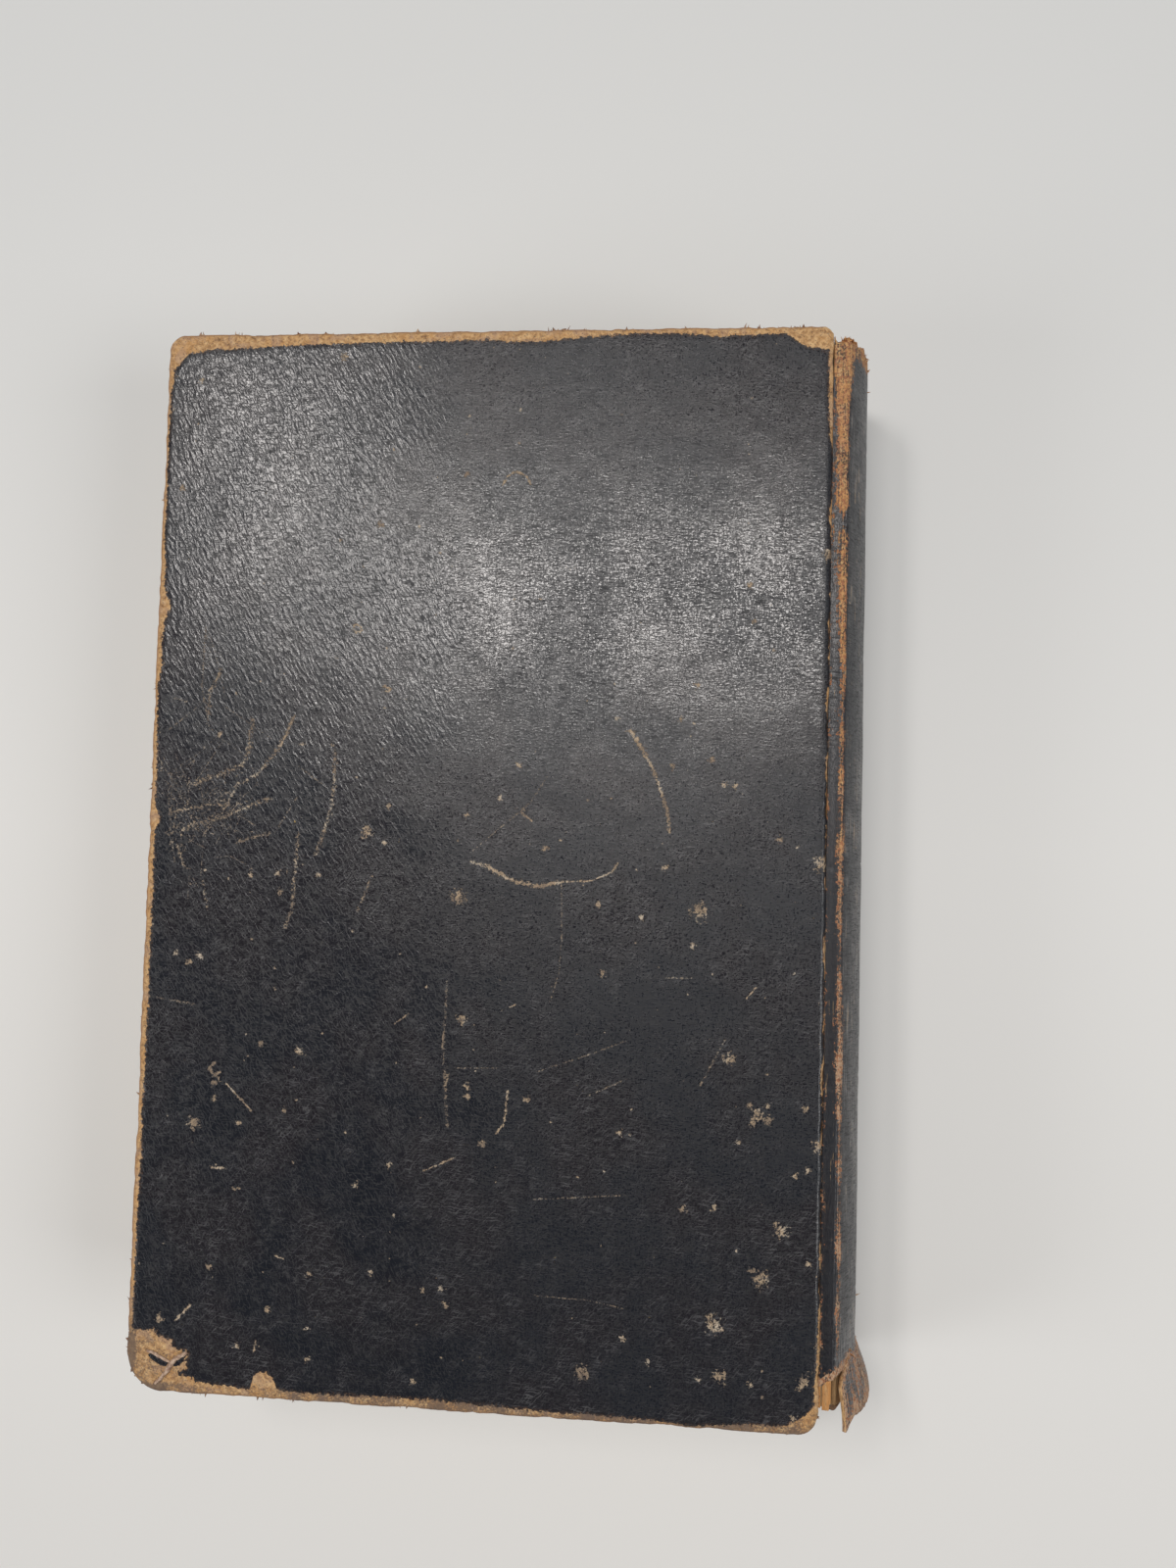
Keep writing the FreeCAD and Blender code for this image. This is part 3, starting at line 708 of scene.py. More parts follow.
cover_leather_paint = leather_paint("cover_leather")
back_leather = new_piece("back_leather", back_points, cover_faces, [cover_leather_paint], "back_cover",
                         "back_cover_leather")
mark_points(back_leather, "skin", spread_skin(back_points, level))
mark_points(back_leather, "bare", bare)
from_edge = np.min(cover_half - np.abs(from_middle), axis=1)
mark_points(back_leather, "rim", (share(from_edge, rim_red, 0) + 0.2 * edge_share) * (1 - at_joint))
from_corner_x, from_corner_y = x - cover_low[0], y - cover_low[1]
# The suede is darker within a few millimetres of the tail edge, from some 22 to 42 mm in from the fore edge
# onwards, and round the tail's outer corner.
tail_darkening = share(from_corner_y, 6, 2) * share(from_corner_x, 22, 42)
grimy_corner = 16.1
corner_grime = np.exp(-(from_corner_x ** 2 + from_corner_y ** 2) / grimy_corner ** 2)
corner_grime = corner_grime * (0.7 + 1.2 * (from_edge < 2.2))
mark_points(back_leather, "grime", np.maximum(tail_darkening, corner_grime))
spot_marks = [(radius[0] if radius else usual_spot, (px, py)) for px, py, *radius in spots]
chance = np.random.default_rng(19)
fine_scratches = 30
scratched_place = (212, 800)
for _ in range(fine_scratches):
    middle = scratched_place + chance.normal(0, (30, 45))
    turn = chance.choice((-0.9, 0.5, 1.3)) + chance.normal(0, 0.25)
    way = chance.uniform(12, 34) * np.array([math.cos(turn), math.sin(turn)])
    scratches.append((0.45, tuple(middle - way), tuple(middle + chance.normal(0, 3, 2)), tuple(middle + way)))
kinds = [(1.0, spot_marks), (0.95, scuffs), (0.34, dragged), (0.24, scratches)]
for layer_name, dealt in zip("abc", marks_in_layers(level, kinds)):
    mark_points(back_leather, "marks_" + layer_name, nearest_marks(x, y, dealt))

# Slivers of the skin at the bare corner: they tore off in one direction, stayed joined at one end and curled
# up as they dried. Each is a narrow strip along its own line, arched across and lifted most near its middle.
slivers = [(0.32, 0.65, [(191, 1380), (183, 1384), (177, 1389), (172, 1394), (168, 1400)]),
           (0.22, 0.5, [(177, 1389), (173, 1396), (168, 1402), (163, 1407), (158, 1412)]),
           (0.15, 0.35, [(150, 1378), (158, 1381), (166, 1386), (173, 1390)])]


def sliver(number, half_width, lift, line):
    """A strip along a line: curled upwards across it, with a half wave along it for its width and lift."""
    t = np.linspace(0, 1, 40)[:, None]
    a = np.linspace(-1, 1, 9)[None, :]
    places = on_line(t[:, 0] * (len(line) - 1), np.arange(len(line)), at_level(line, level))
    places += 0.12 * np.stack([waves(places[:, 0], places[:, 1], 0.8, 111 + k) for k in (0, 1)], axis=1)
    ahead = np.gradient(places, axis=0)
    ahead /= np.hypot(*ahead.T)[:, None]
    half = half_width * (0.15 + 0.85 * np.sin(math.pi * t ** 0.7)) * (1 + 0.3 * waves(10 * t, 0 * t, 1, 113))
    points = columns(places[:, :1] - ahead[:, 1:] * half * a, places[:, 1:] + ahead[:, :1] * half * a,
                     level - 0.15 + lift * (0.25 + 0.75 * np.sin(math.pi * t)) * (1 - 0.8 * a * a))
    piece = new_piece(f"torn_sliver_{number}", points, grid_faces(40, 9).tolist(), [sliver_paint],
                      "back_cover")
    wall = piece.modifiers.new("wall", "SOLIDIFY")
    wall.thickness = 0.25 * mm
    wall.offset = -1


sliver_paint, start, place = new_material("torn_slivers")
tint = place.noise(1.1, 3.0, 0.6)
flesh = tint.ramp((0.36, (0.24, 0.14, 0.10)), (0.50, (0.47, 0.33, 0.24)), (0.64, (0.60, 0.46, 0.35)))
finish_material(sliver_paint, flesh, 0.92, place.noise(0.3, 3.0) * 0.1)
for number, (half_width, lift, line) in enumerate(slivers, 1):
    sliver(number, half_width, lift, line)

# The leather of the front cover: the same skin on the board that the book lies on. The photograph doesn't
# show it, so its wear is only like the back cover's: a rim that widens at the corners, and random marks.
front_corner_rounds = (6.0, 3.5, 3.0, 4.5)
front_cell = 1.3
rim_wear = 1.3
book_thickness = cad_box[1][2] / mm
front_points, front_faces = cover_surface(front_corner_rounds, front_cell)
from_edge = cover_half - np.abs(front_points[:, :2])
x, y = front_points[:, 0] + cover_middle[0], front_points[:, 1] + cover_middle[1]
in_corner = np.exp(-np.hypot(*from_edge.T) / 7)
under = cover_high[2] - cover_low[2] - front_points[:, 2]
bare = rim_wear + 0.8 * waves(x, y, 9, 21) + 0.5 * waves(x, y, 2.5, 22) + 5 * in_corner - from_edge.min(axis=1)
bare = bare + edge_wear * share(under, 0, outer_edge_round)
worn = share(bare, -0.25, 0.25)
sunk = (under < outer_edge_round) * (0.2 + 0.10 * waves(x, y, 30, 23) + 0.05 * waves(x, y, 10, 24)
                                     + 0.14 * worn)
front_points = columns(x, y, book_thickness - (front_points[:, 2] + cover_low[2] - sunk))
front_leather = new_piece("front_leather", front_points, [face[::-1] for face in front_faces],
                          [cover_leather_paint], "front_cover", "front_cover_leather")
mark_points(front_leather, "skin", spread_skin(front_points, 0))
mark_points(front_leather, "bare", bare)
mark_points(front_leather, "rim", share(from_edge.min(axis=1), rim_red, 0))
chance = np.random.default_rng(31)
marks_a_layer = 26
for layer_name in "abc":
    dealt = []
    for _ in range(marks_a_layer):
        first = cover_middle[:2] + chance.uniform(-0.92, 0.92, 2) * cover_half[:2]
        way = chance.normal(0, 5, 2)
        bend = chance.normal(0, 1.5, 2)
        spot = chance.random() < 0.6
        line = [first] if spot else [first, first + way, first + way * 1.9 + bend]
        dealt.append((line, chance.uniform(0.3, 0.9) if spot else 0.25, chance.uniform(0.4, 0.9)))
    mark_points(front_leather, "marks_" + layer_name, nearest_marks(x, y, dealt))

# The leather of the spine: a drier, streakier skin that goes round the hollow back from ridge to ridge. The
# ridges are worn to orange suede, the cap at the head is lost, creases cross it over the cords, and at the
# tail it has torn along the back joint and sprung out as a flap.
cover_tail, cover_head = cover_low[1], cover_high[1]
mid_z = book_thickness / 2
shoulder_drop = 0.4
spine_round = 7.0
joint_width = 3.3
ridge_x = joint_x + joint_width
half_ridge = mid_z - shoulder_drop
spine_radius = (half_ridge ** 2 + spine_round ** 2) / (2 * spine_round)
spine_centre_x = ridge_x + spine_round - spine_radius
ridge_angle = math.degrees(math.asin(half_ridge / spine_radius))
spine_wall = 0.9
spine_cell = 0.7
profile_step = 0.1
spine_head = cover_head - 3.4
spine_tail = cover_tail + 1.7
tear_top = cover_tail + 23 * spine_cell
tear_top_angle = 21.0
flap_edge_angle = 33.0
flap_edge_flare = 2.0
tail_flare = 3.8
cord_places = [cover_tail + part * (cover_head - cover_tail) for part in (0.108, 0.306, 0.503, 0.700, 0.898)]
crease_width = 0.5


def spine_arc(radius, turn):
    """X and Z at a radius and a turn round the spine's middle."""
    return spine_centre_x + radius * np.cos(turn), mid_z + radius * np.sin(turn)


def skin_profile():
    """The skin's section from the back cover's edge to the front cover's, in even steps: a parabola down the
    groove and up to the ridge, the spine's arc and the groove again, smoothed by a bell curve to round it."""
    start = np.array([joint_x - 0.1, mid_z + half_ridge - 0.9])
    ridge = np.array([ridge_x, mid_z + half_ridge])
    t = np.linspace(0, 1, 40)[:, None]
    groove = start + (ridge - start) * t - [[0, 2.0]] * t * (1 - t)
    turn = np.radians(np.linspace(ridge_angle, -ridge_angle, 200))[1:-1]
    spine = columns(*spine_arc(spine_radius, turn))
    path = np.concatenate([groove, spine, (groove * [1, -1] + [0, 2 * mid_z])[::-1]])
    travelled = np.concatenate([[0], np.cumsum(np.hypot(*np.diff(path, axis=0).T))])
    path = on_line(np.arange(0, travelled[-1], profile_step), travelled, path)
    reach = 24
    bell = np.exp(-0.5 * (np.arange(-reach, reach + 1) / 8) ** 2)
    before, after = 2 * path[0] - path[reach:0:-1], 2 * path[-1] - path[-2:-reach - 2:-1]
    longer = np.concatenate([before, path, after])
    return np.stack([np.convolve(longer[:, k], bell / bell.sum(), "valid") for k in (0, 1)], axis=1)


profile = skin_profile()
steps = np.arange(len(profile))
last_step = steps[-1]
profile_angle = np.degrees(np.arctan2(profile[:, 1] - mid_z, profile[:, 0] - spine_centre_x))
ridge_step = 12 + int(np.argmax(profile[12:len(profile) // 2, 1]))
far_ridge = last_step - ridge_step


def step_of(angle):
    """The profile's step at an angle round the spine."""
    return float(np.interp(-angle, -profile_angle[ridge_step:far_ridge], steps[ridge_step:far_ridge]))


joined_step = step_of(tear_top_angle)
flap_edge_step = step_of(flap_edge_angle)

# How wide the ridge is worn bare along the book, from the tail to the head, and where the middle of it runs.
wear_place = [-125, -108, -97, -93, -60, -20, -8, -3, 45, 50, 76, 78.5, 80.5, 83, 104, 112, 125]
wear_half = [0.6, 0.15, 0.8, 0.4, 0.75, 0.6, 0.4, 0.8, 0.8, 1.35, 1.4, -0.3, -0.2, 1.5, 1.5, 2.4, 4.5]
wear_middle = [1.8, 1.6, 1.3, 1.3, 1.0, 0.3, 0.2, 0.1, 0.0, -0.2, -0.4, -0.4, -0.4, -0.5, -0.8, -0.6, 0.4]


def from_ridge(step):
    """Distance across the skin from the nearer ridge, positive on the spine."""
    return (np.minimum(step, last_step - step) - ridge_step) * profile_step


def ridge_wear(step, y):
    """How far into the worn ridge a point lies: the half width there, less its distance from the middle."""
    s = from_ridge(step)
    wander = 0.5 * waves(s, y, 6, 41) + 0.35 * waves(s, y, 2.2, 42)
    return np.interp(y, wear_place, wear_half) + wander - np.abs(s - np.interp(y, wear_place, wear_middle))


def ragged(step, seed, depth):
    """A torn end's reach beyond its line, from coarse and fine teeth across the skin."""
    across = step * profile_step
    coarse, fine = waves(across, across * 0, 2.6, seed), waves(across, across * 0, 0.9, seed + 1)
    return depth * (0.55 * coarse + 0.45 * fine)


def head_end(step):
    """The worn end at the head, lowest on the ridges."""
    return spine_head + 0.3 + ragged(step, 63, 1.9)


def tail_end(step):
    """The worn end at the tail, with the flap's tip left longest."""
    tip = np.interp(step, [0, flap_edge_step + 4, flap_edge_step + 34, last_step], [0, -0.2, 1.5, 0])
    return spine_tail + tip + ragged(step, 65, 0.8)


def torn_edge(step):
    """The edge of the leather above the tear, from the board up to where the flap is still joined."""
    marks = [0, ridge_step, joined_step - 12, joined_step]
    rise = np.interp(step, marks, [10.8, 12.4, 14.4, tear_top - cover_tail])
    return cover_tail + rise + ragged(step, 61, 0.8) * share(step, joined_step, joined_step - 15)


def flap_top(step):
    """The upper edge of the flap, lowest at its free edge."""
    marks = [flap_edge_step, flap_edge_step + 12, joined_step]
    rise = np.interp(step, marks, [10.5, 12.6, tear_top - cover_tail])
    return cover_tail + rise + ragged(step, 67, 0.6) * share(step, joined_step, joined_step - 15)


def flare(step, y):
    """How far the torn leather springs out: none above the tear, most at the middle of the tail's end."""
    angle = np.interp(step, steps, profile_angle)
    across = np.interp(angle, [-ridge_angle, -12, 0, flap_edge_angle],
                       [0, 0.75 * tail_flare, tail_flare, flap_edge_flare])
    return across * smooth(share(y, tear_top, spine_tail)) ** 0.8


def no_flare(step, y):
    """The leather that is still held lies flat."""
    return 0 * y


def skin_grid(first_step, end_step, low, high, cell=spine_cell, lift=no_flare):
    """A grid over the skin between two steps of its profile, its ends held between the lines low and high:
    the step, Y and outward lift of each point."""
    gaps = max(int(abs(end_step - first_step) * profile_step / cell), 5)
    across = np.linspace(first_step, end_step, gaps + 1)
    rows = cover_tail + spine_cell * np.arange(int((cover_head - cover_tail) / spine_cell) + 2)
    step, y = np.meshgrid(across, rows)
    y = np.clip(y, low(step), high(step))
    return step, y, lift(step, y)


def joined(points, faces):
    """Numbers one point of each heap that lies together, and the faces that keep at least three points."""
    _, first, place = np.unique(np.round(points, 3), axis=0, return_index=True, return_inverse=True)
    kept = [tuple(dict.fromkeys(face)) for face in place.ravel()[np.asarray(faces)].tolist()]
    return first, [face for face in kept if len(face) > 2]


def skin_piece(name, grids, wall, drop=0.0):
    """Joins grids into one skin with a wall under it, flesh side in. Also gives each point's step and Y."""
    places, marks, faces, count = [], [], [], 0
    for step, y, lift in grids:
        turn = np.radians(np.interp(step, steps, profile_angle))
        across = step * profile_step
        bend = 0.4 * waves(across, y * 0, 8, 53)
        crease = sum(np.exp(-((y - place + bend) / crease_width) ** 2) for place in cord_places)
        rough = 0.10 * waves(across, y, 9, 51) + 0.05 * waves(across, y * 0.3, 1.6, 52) - 0.14 * crease - drop
        out = lift + rough
        x, z = np.moveaxis(on_line(step, steps, profile), -1, 0)
        places.append(columns(x + out * np.cos(turn), y, z + out * np.sin(turn)))
        marks.append(columns(step, y))
        faces.append(grid_faces(*step.shape, count))
        count += step.size
    places, marks = np.concatenate(places), np.concatenate(marks)
    first, kept = joined(places, np.concatenate(faces))
    piece = new_piece(name, places[first], kept, [spine_paint, suede_paint], None)
    shell = piece.modifiers.new("wall", "SOLIDIFY")
    shell.thickness = wall * mm
    shell.offset = -1
    shell.material_offset = shell.material_offset_rim = 1
    step, y = marks[first].T
    mark_points(piece, "skin", columns(step * profile_step, y, 0))
    return piece, step, y


suede_paint, start, place = new_material("raw_suede")
suede, fibres = suede_colour(place.scaled(1.6, 0.5, 1.6))
finish_material(suede_paint, suede, 0.92, fibres)
spine_paint = leather_paint("spine_leather", streaks=0.75)
spine, step, y = skin_piece("spine_skin", [
    skin_grid(joined_step, far_ridge, tail_end, head_end, lift=flare),
    skin_grid(ridge_step, joined_step, torn_edge, head_end),
    skin_grid(flap_edge_step, joined_step, tail_end, flap_top, lift=flare)], spine_wall)
on_flap = (y < flap_top(step) + 0.01) & (step < joined_step)
across = step * profile_step
flap_across = (step - flap_edge_step) * profile_step
tip_wear = share(y, cover_tail + 9, cover_tail + 2)
tip_wear = tip_wear * share(step, step_of(-8), step_of(-8) - 60) * share(flap_across, 1.8, 3.8)
past_stripe = np.minimum(flap_across - 2.6, step_of(-14) * profile_step - across)
worn_flap = np.minimum(np.minimum(past_stripe, (tear_top - 0.5 - y) * 0.5), 0.9)
worn_flap = worn_flap + 0.9 * waves(across, y * 0.3, 1.0, 74) + 0.6 * waves(across, y * 0.5, 2.6, 75) - 0.45
not_bare = -3
bare = np.maximum.reduce([
    np.where(y > tear_top, ridge_wear(step, y), not_bare),
    y - (spine_head - 2.6 - 5.5 * share(from_ridge(step), 3.5, 0)) + waves(across, y, 2.5, 71),
    spine_tail + 1.4 + 3.4 * tip_wear - y + 1.2 * waves(across, y, 2.0, 72),
    np.where(on_flap | (step >= joined_step), not_bare, 1.9 - (y - torn_edge(step))),
    np.where(on_flap, 1.2 - (flap_top(step) - y), not_bare),
    np.where(on_flap, 1.4 - flap_across + 0.5 * waves(step, y, 3, 73), not_bare),
    worn_flap])
mark_points(spine, "bare", bare)
mark_points(spine, "worn", share(y, cover_tail + 26, cover_tail + 14))
rule_y, rule_width = 51.0, 0.35
from_rule = np.abs(y - rule_y) / rule_width
mark_points(spine, "gilt", share(from_rule, 1.1, 0.1) * (from_ridge(step) > 1.5))
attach(spine, "book_block")
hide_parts("spine_leather")

# The leather of the joints: the same skin where it bends in the groove between a board and the ridge. It is
# worn bare beside the ridge, split from the board for a short way at the head, and torn off above the tail
# at the back.
split_length = 12.0
split_width = 3


def split_grid(first_step, end_step, low):
    """The strip's grid with its board side drawn away from the board at the head."""
    step, y, lift = skin_grid(first_step, end_step, low, head_end, 0.5)
    away = split_width * share(y, cover_head - split_length, cover_head - split_length + 2.5)
    return np.clip(step, away, last_step - away), y, lift


for name, cover, node, hinge_z, first_step, end_step, low in (
        ("back_joint", "back_cover", "back_joint_leather", cover_high[2], 0, ridge_step, torn_edge),
        ("front_joint", "front_cover", "front_joint_leather", 0.0, far_ridge, last_step, tail_end)):
    strip, step, y = skin_piece(name, [split_grid(first_step, end_step, low)], 0.8)
    s = from_ridge(step)
    crease = -0.25 + 0.5 * waves(s, y, 3.5, 81) + 0.4 * waves(s, y, 1.2, 82) - np.abs(s + joint_width)
    bare = np.maximum.reduce([ridge_wear(step, y), crease, y - (cover_head - 11) + 1.2 * waves(s, y, 3, 83),
                              low(step) + 1.9 - y])
    mark_points(strip, "bare", bare)
    mark_points(strip, "worn", 0 * y - 1.2)
    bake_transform(strip)
    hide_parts(node)

# The lining that shows through the tear: strips of the leather's flesh layer that stayed glued to the
# shoulder of the leaves when the rest tore off, split lengthwise and stained orange.
lining_paint, start, place = new_material("torn_lining")
lining, fibres = suede_colour(place.scaled(1.6, 0.35, 1.6))
stain = place.scaled(1.0, 0.2, 1.0).noise(1.6, 3.0, 0.6)
finish_material(lining_paint, lining.mixed((0.50, 0.235, 0.075), stain.rise(0.32, 0.56) * 0.85), 0.9, fibres)
lining_strips = ((3, 11, 6.0, 0.55), (12, 21, 5.6, 0.35), (22, 31, 5.9, 0.6), (33, 40, 6.8, 0.9))
for number, (first_step, end_step, foot, drop) in enumerate(lining_strips, 1):
    strip, step, y = skin_piece(f"torn_lining_{number}", [skin_grid(
        first_step, end_step, lambda s, foot=foot: cover_tail + foot + ragged(s, 91, 0.5),
        lambda s: torn_edge(s) + 1.0, 0.2)], 0.4, drop)
    strip.data.materials[0] = lining_paint
    strip.data.materials[1] = lining_paint
    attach(strip, "book_block")

# The leaves: one block of sewn sections, rounded and backed at the spine, hollow at the fore edge, browned
# and slightly uneven along all three edges. Their mesh follows the leaves themselves, so that the fine lines
# of the page edges run with them, fanned out at the shoulders.
leaves_low, leaves_high = (np.array(corner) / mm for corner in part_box("text_block"))
mull_low, mull_high = (np.array(corner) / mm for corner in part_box("spine_mull"))
flyleaf_low, flyleaf_high = (np.array(corner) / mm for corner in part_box("back_flyleaf"))
mull_cloth = 0.3
hollow_depth = 6.5
shoulder_gap = 0.4
leaves_radius = mull_high[0] - mull_cloth - spine_centre_x
leaves_tip_angle = math.asin((leaves_high[2] - mid_z) / leaves_radius)
section_thickness = 2.1
kerf = 2.0


def curve_through(first, middle, last, count):
    """Points along the circle's arc through three points: a turn about its centre."""
    (ax, ay), (bx, by), (cx, cy) = first, middle, last
    a, b, c = ax * ax + ay * ay, bx * bx + by * by, cx * cx + cy * cy
    d = 2 * (ax * (by - cy) + bx * (cy - ay) + cx * (ay - by))
    ux = (a * (by - cy) + b * (cy - ay) + c * (ay - by)) / d
    uy = (a * (cx - bx) + b * (ax - cx) + c * (bx - ax)) / d
    turn = np.unwrap([math.atan2(p[1] - uy, p[0] - ux) for p in (first, middle, last)])
    turn = np.interp(np.linspace(0, 2, count), [0, 1, 2], turn)
    radius = math.hypot(ax - ux, ay - uy)
    return columns(ux + radius * np.cos(turn), uy + radius * np.sin(turn))


leaf_count, run_count, shoulder_count = 150, 90, 12
flat_top = flyleaf_low[2]
tip = np.array([spine_centre_x + leaves_radius * math.cos(leaves_tip_angle), leaves_high[2]])
neck = np.array([joint_x + shoulder_gap, flat_top])
rise = np.array([(neck[0] + tip[0]) / 2, flat_top + 0.35 * (tip[1] - flat_top)])
shoulder = curve_through(neck, rise, tip, shoulder_count)
flat = columns(np.linspace(leaves_low[0], neck[0], run_count - shoulder_count + 1), flat_top)
top_leaf = np.concatenate([flat, shoulder[1:]])
bottom_leaf = top_leaf * [1, -1] + [0, book_thickness]
fore = curve_through((leaves_low[0], book_thickness - flat_top), (leaves_low[0] + hollow_depth, mid_z),
                     (leaves_low[0], flat_top), leaf_count)
back_turn = np.linspace(-leaves_tip_angle, leaves_tip_angle, leaf_count)
back = columns(*spine_arc(leaves_radius, back_turn))
s = np.linspace(0, 1, run_count)[None, :, None]
t = np.linspace(0, 1, leaf_count)[:, None, None]
section = ((1 - t) * bottom_leaf + t * top_leaf + (1 - s) * fore[:, None] + s * back[:, None]
           - (1 - s) * ((1 - t) * bottom_leaf[0] + t * top_leaf[0])
           - s * ((1 - t) * bottom_leaf[-1] + t * top_leaf[-1]))
leaves_thickness = leaves_high[2] - leaves_low[2]
leaf_place = t[..., 0] * leaves_thickness
edge_inset = 0.25


def section_bulge(leaf, along, seed):
    """How far the edge of each sewn section stands out or in, with single leaves a little past the others."""
    number = np.floor(leaf / section_thickness)
    rounded = np.sin(math.pi * (leaf / section_thickness - number)) ** 0.5
    sections = 0.16 * waves(number * 3.1, along, 40, seed)
    return sections + 0.10 * waves(leaf * 2.2, along, 30, seed + 1) + 0.12 * rounded


pieces, leaf_marks, faces, count = [], [], [], 0
for end, edge in ((-1, leaves_low[1]), (1, leaves_high[1])):
    inset = section_bulge(leaf_place, section[..., 0], 101 + end)
    pieces.append(columns(section[..., 0], edge - end * (edge_inset - inset), section[..., 1]))
    leaf_marks.append(columns(leaf_place, section[..., 0], 0))
    faces.append(grid_faces(leaf_count, run_count, count)[:, ::end])
    count += leaf_count * run_count
kerf_wall = 0.01
kerf_rows = [place + side * (kerf / 2 - wall)
             for place in cord_places for side in (-1, 1) for wall in (0, kerf_wall)]
rows = np.sort(np.concatenate([np.linspace(leaves_low[1], leaves_high[1], 110), kerf_rows]))
sawn = kerf * (np.min([np.abs(rows - place) for place in cord_places], axis=0) < (kerf - kerf_wall) / 2)
inner_rows = share(np.minimum(rows - rows[0], rows[-1] - rows), 0, 1)
leaf_number = np.arange(leaf_count)[:, None]
inner_leaves = share(np.minimum(leaf_number, leaf_count - leaf_number), 0, 4)
bulged = (edge_inset - section_bulge(leaf_place, rows[None], 105)) * inner_rows * inner_leaves
sawn_x, sawn_z = sawn * np.cos(back_turn)[:, None], sawn * np.sin(back_turn)[:, None]
for x, z, leaf, way in ((fore[:, :1] + bulged, fore[:, 1:], leaf_place, 1),
                        (back[:, :1] - sawn_x, back[:, 1:] - sawn_z, leaf_place, -1),
                        (top_leaf[:, :1], top_leaf[:, 1:], leaves_thickness, 1),
                        (bottom_leaf[:, :1], bottom_leaf[:, 1:], 0, -1)):
    pieces.append(columns(x, rows, z))
    leaf_marks.append(columns(leaf, rows, x))
    faces.append(grid_faces(len(x), len(rows), count)[:, ::way])
    count += len(x) * len(rows)

page_paint, start, place = new_material("page_edges")
leaf_lines = start.node("Attribute", {"attribute_name": "leaf"}, output="Vector").scaled(1.0, 0.015, 0.0)
thin_lines = leaf_lines.noise(0.16, 2.0, 0.7)
bundles = leaf_lines.noise(1.3, 3.0, 0.6)
age = place.noise(28, 3.0, 0.55)
page = thin_lines * 0.55 + bundles * 0.45
page = page.ramp((0.34, (0.20, 0.13, 0.07)), (0.48, (0.47, 0.36, 0.22)), (0.62, (0.66, 0.55, 0.38)))
page = page.mixed((0.33, 0.22, 0.115), age.rise(0.40, 0.66) * 0.55)
foxing = place.noise(3.2, 4.0, 0.6)
page = page.mixed((0.24, 0.125, 0.05), foxing.rise(0.64, 0.74) * 0.7)
page = page.mixed((0.10, 0.075, 0.05), place.noise(9, 4.0, 0.6).rise(0.60, 0.76) * 0.5)
finish_material(page_paint, page, 0.9, thin_lines * 0.16 + bundles * 0.3)
block = new_piece("leaves", np.concatenate(pieces), np.concatenate(faces).tolist(), [page_paint], "book_block",
                  "text_block")
mark_points(block, "leaf", np.concatenate(leaf_marks))

# The sewn bands at the head and the tail: linen thread wound round a cord, in faded stripes, with the skirt
# of the cloth glued to the back of the leaves.
bead = 2.2
band_skirt = 8.0
band_end_angle = 6.0
thread = 0.75
stripe = 7
thread_paint, start, place = new_material("endband_thread")
wound = start.node("Attribute", {"attribute_name": "wound"}, output="Vector")
twist = wound.scaled(1.0, 1.0, 0.0).noise(0.25, 3.0, 0.6)
undyed = twist.ramp((0.3, (0.30, 0.20, 0.11)), (0.7, (0.52, 0.40, 0.25)))
faded_brown = twist.ramp((0.3, (0.13, 0.07, 0.04)), (0.7, (0.27, 0.16, 0.095)))
thread_colour = undyed.mixed(faded_brown, wound.parts()[2].rise(0.4, 0.6))
thread_colour = thread_colour.mixed((0.07, 0.045, 0.03), place.noise(4, 4.0, 0.6).rise(0.5, 0.7) * 0.6)
finish_material(thread_paint, thread_colour, 0.85, twist * 0.08)
half_angle = leaves_tip_angle - math.radians(band_end_angle)
band_length = 2 * half_angle * leaves_radius
threads = int(band_length / thread)
for name, end, edge in (("headband", 1, leaves_high[1]), ("tailband", -1, leaves_low[1])):
    along, around = np.meshgrid(np.linspace(0, 1, threads * 6 + 1), np.linspace(0, 1, 17), indexing="ij")
    wave = np.abs(np.sin(math.pi * along * threads))
    angle = half_angle * (2 * along - 1)
    round_bead = 2 * math.pi * around
    bead_radius = bead / 2 * (0.86 + 0.14 * wave ** 0.6) * np.where((along == 0) | (along == 1), 0.05, 1)
    x, z = spine_arc(leaves_radius + mull_cloth - bead / 2 + bead_radius * np.cos(round_bead), angle)
    wound_thread = columns(x, edge + end * (bead / 2 + bead_radius * np.sin(round_bead)), z)
    skirt_turn, corner = np.meshgrid(np.linspace(-half_angle, half_angle, 60), np.arange(5), indexing="ij")
    x, z = spine_arc(leaves_radius + np.array([0, mull_cloth, mull_cloth, 0, 0])[corner], skirt_turn)
    skirt = columns(x, edge + end * np.array([0.3, 0.3, -band_skirt, -band_skirt, 0.3])[corner], z)
    points = np.concatenate([wound_thread, skirt])
    quads = np.concatenate([grid_faces(*along.shape), grid_faces(*corner.shape, along.size)])
    first, kept = joined(points, quads[:, ::-end])
    tone = np.floor(along * threads / stripe) % 2
    wound_marks = np.concatenate([columns(along * band_length, around * 7, tone), skirt * [0, 1, 0]])
    band = new_piece(name + "_sewn", points[first], kept, [thread_paint], "book_block", name)
    mark_points(band, "wound", wound_marks[first])

# What keeps the form that it was built in: the endpapers, the boards, the open cloth and the paper tube
# behind the spine, and the hemp cords that the sections are sewn on. Each only gets an aged finish.


def dress(material, *nodes):
    """Gives CAD nodes a material in place of their plain one."""
    for node in nodes:
        mesh = bpy.data.objects[node].data
        mesh.materials.clear()
        mesh.materials.append(material)


def round_back(place):
    """How far round the back of the leaves a place lies, and its Y."""
    x, y, z = place.parts()
    return x.math("ARCTAN2", z - mid_z, x - spine_centre_x) * leaves_radius, y


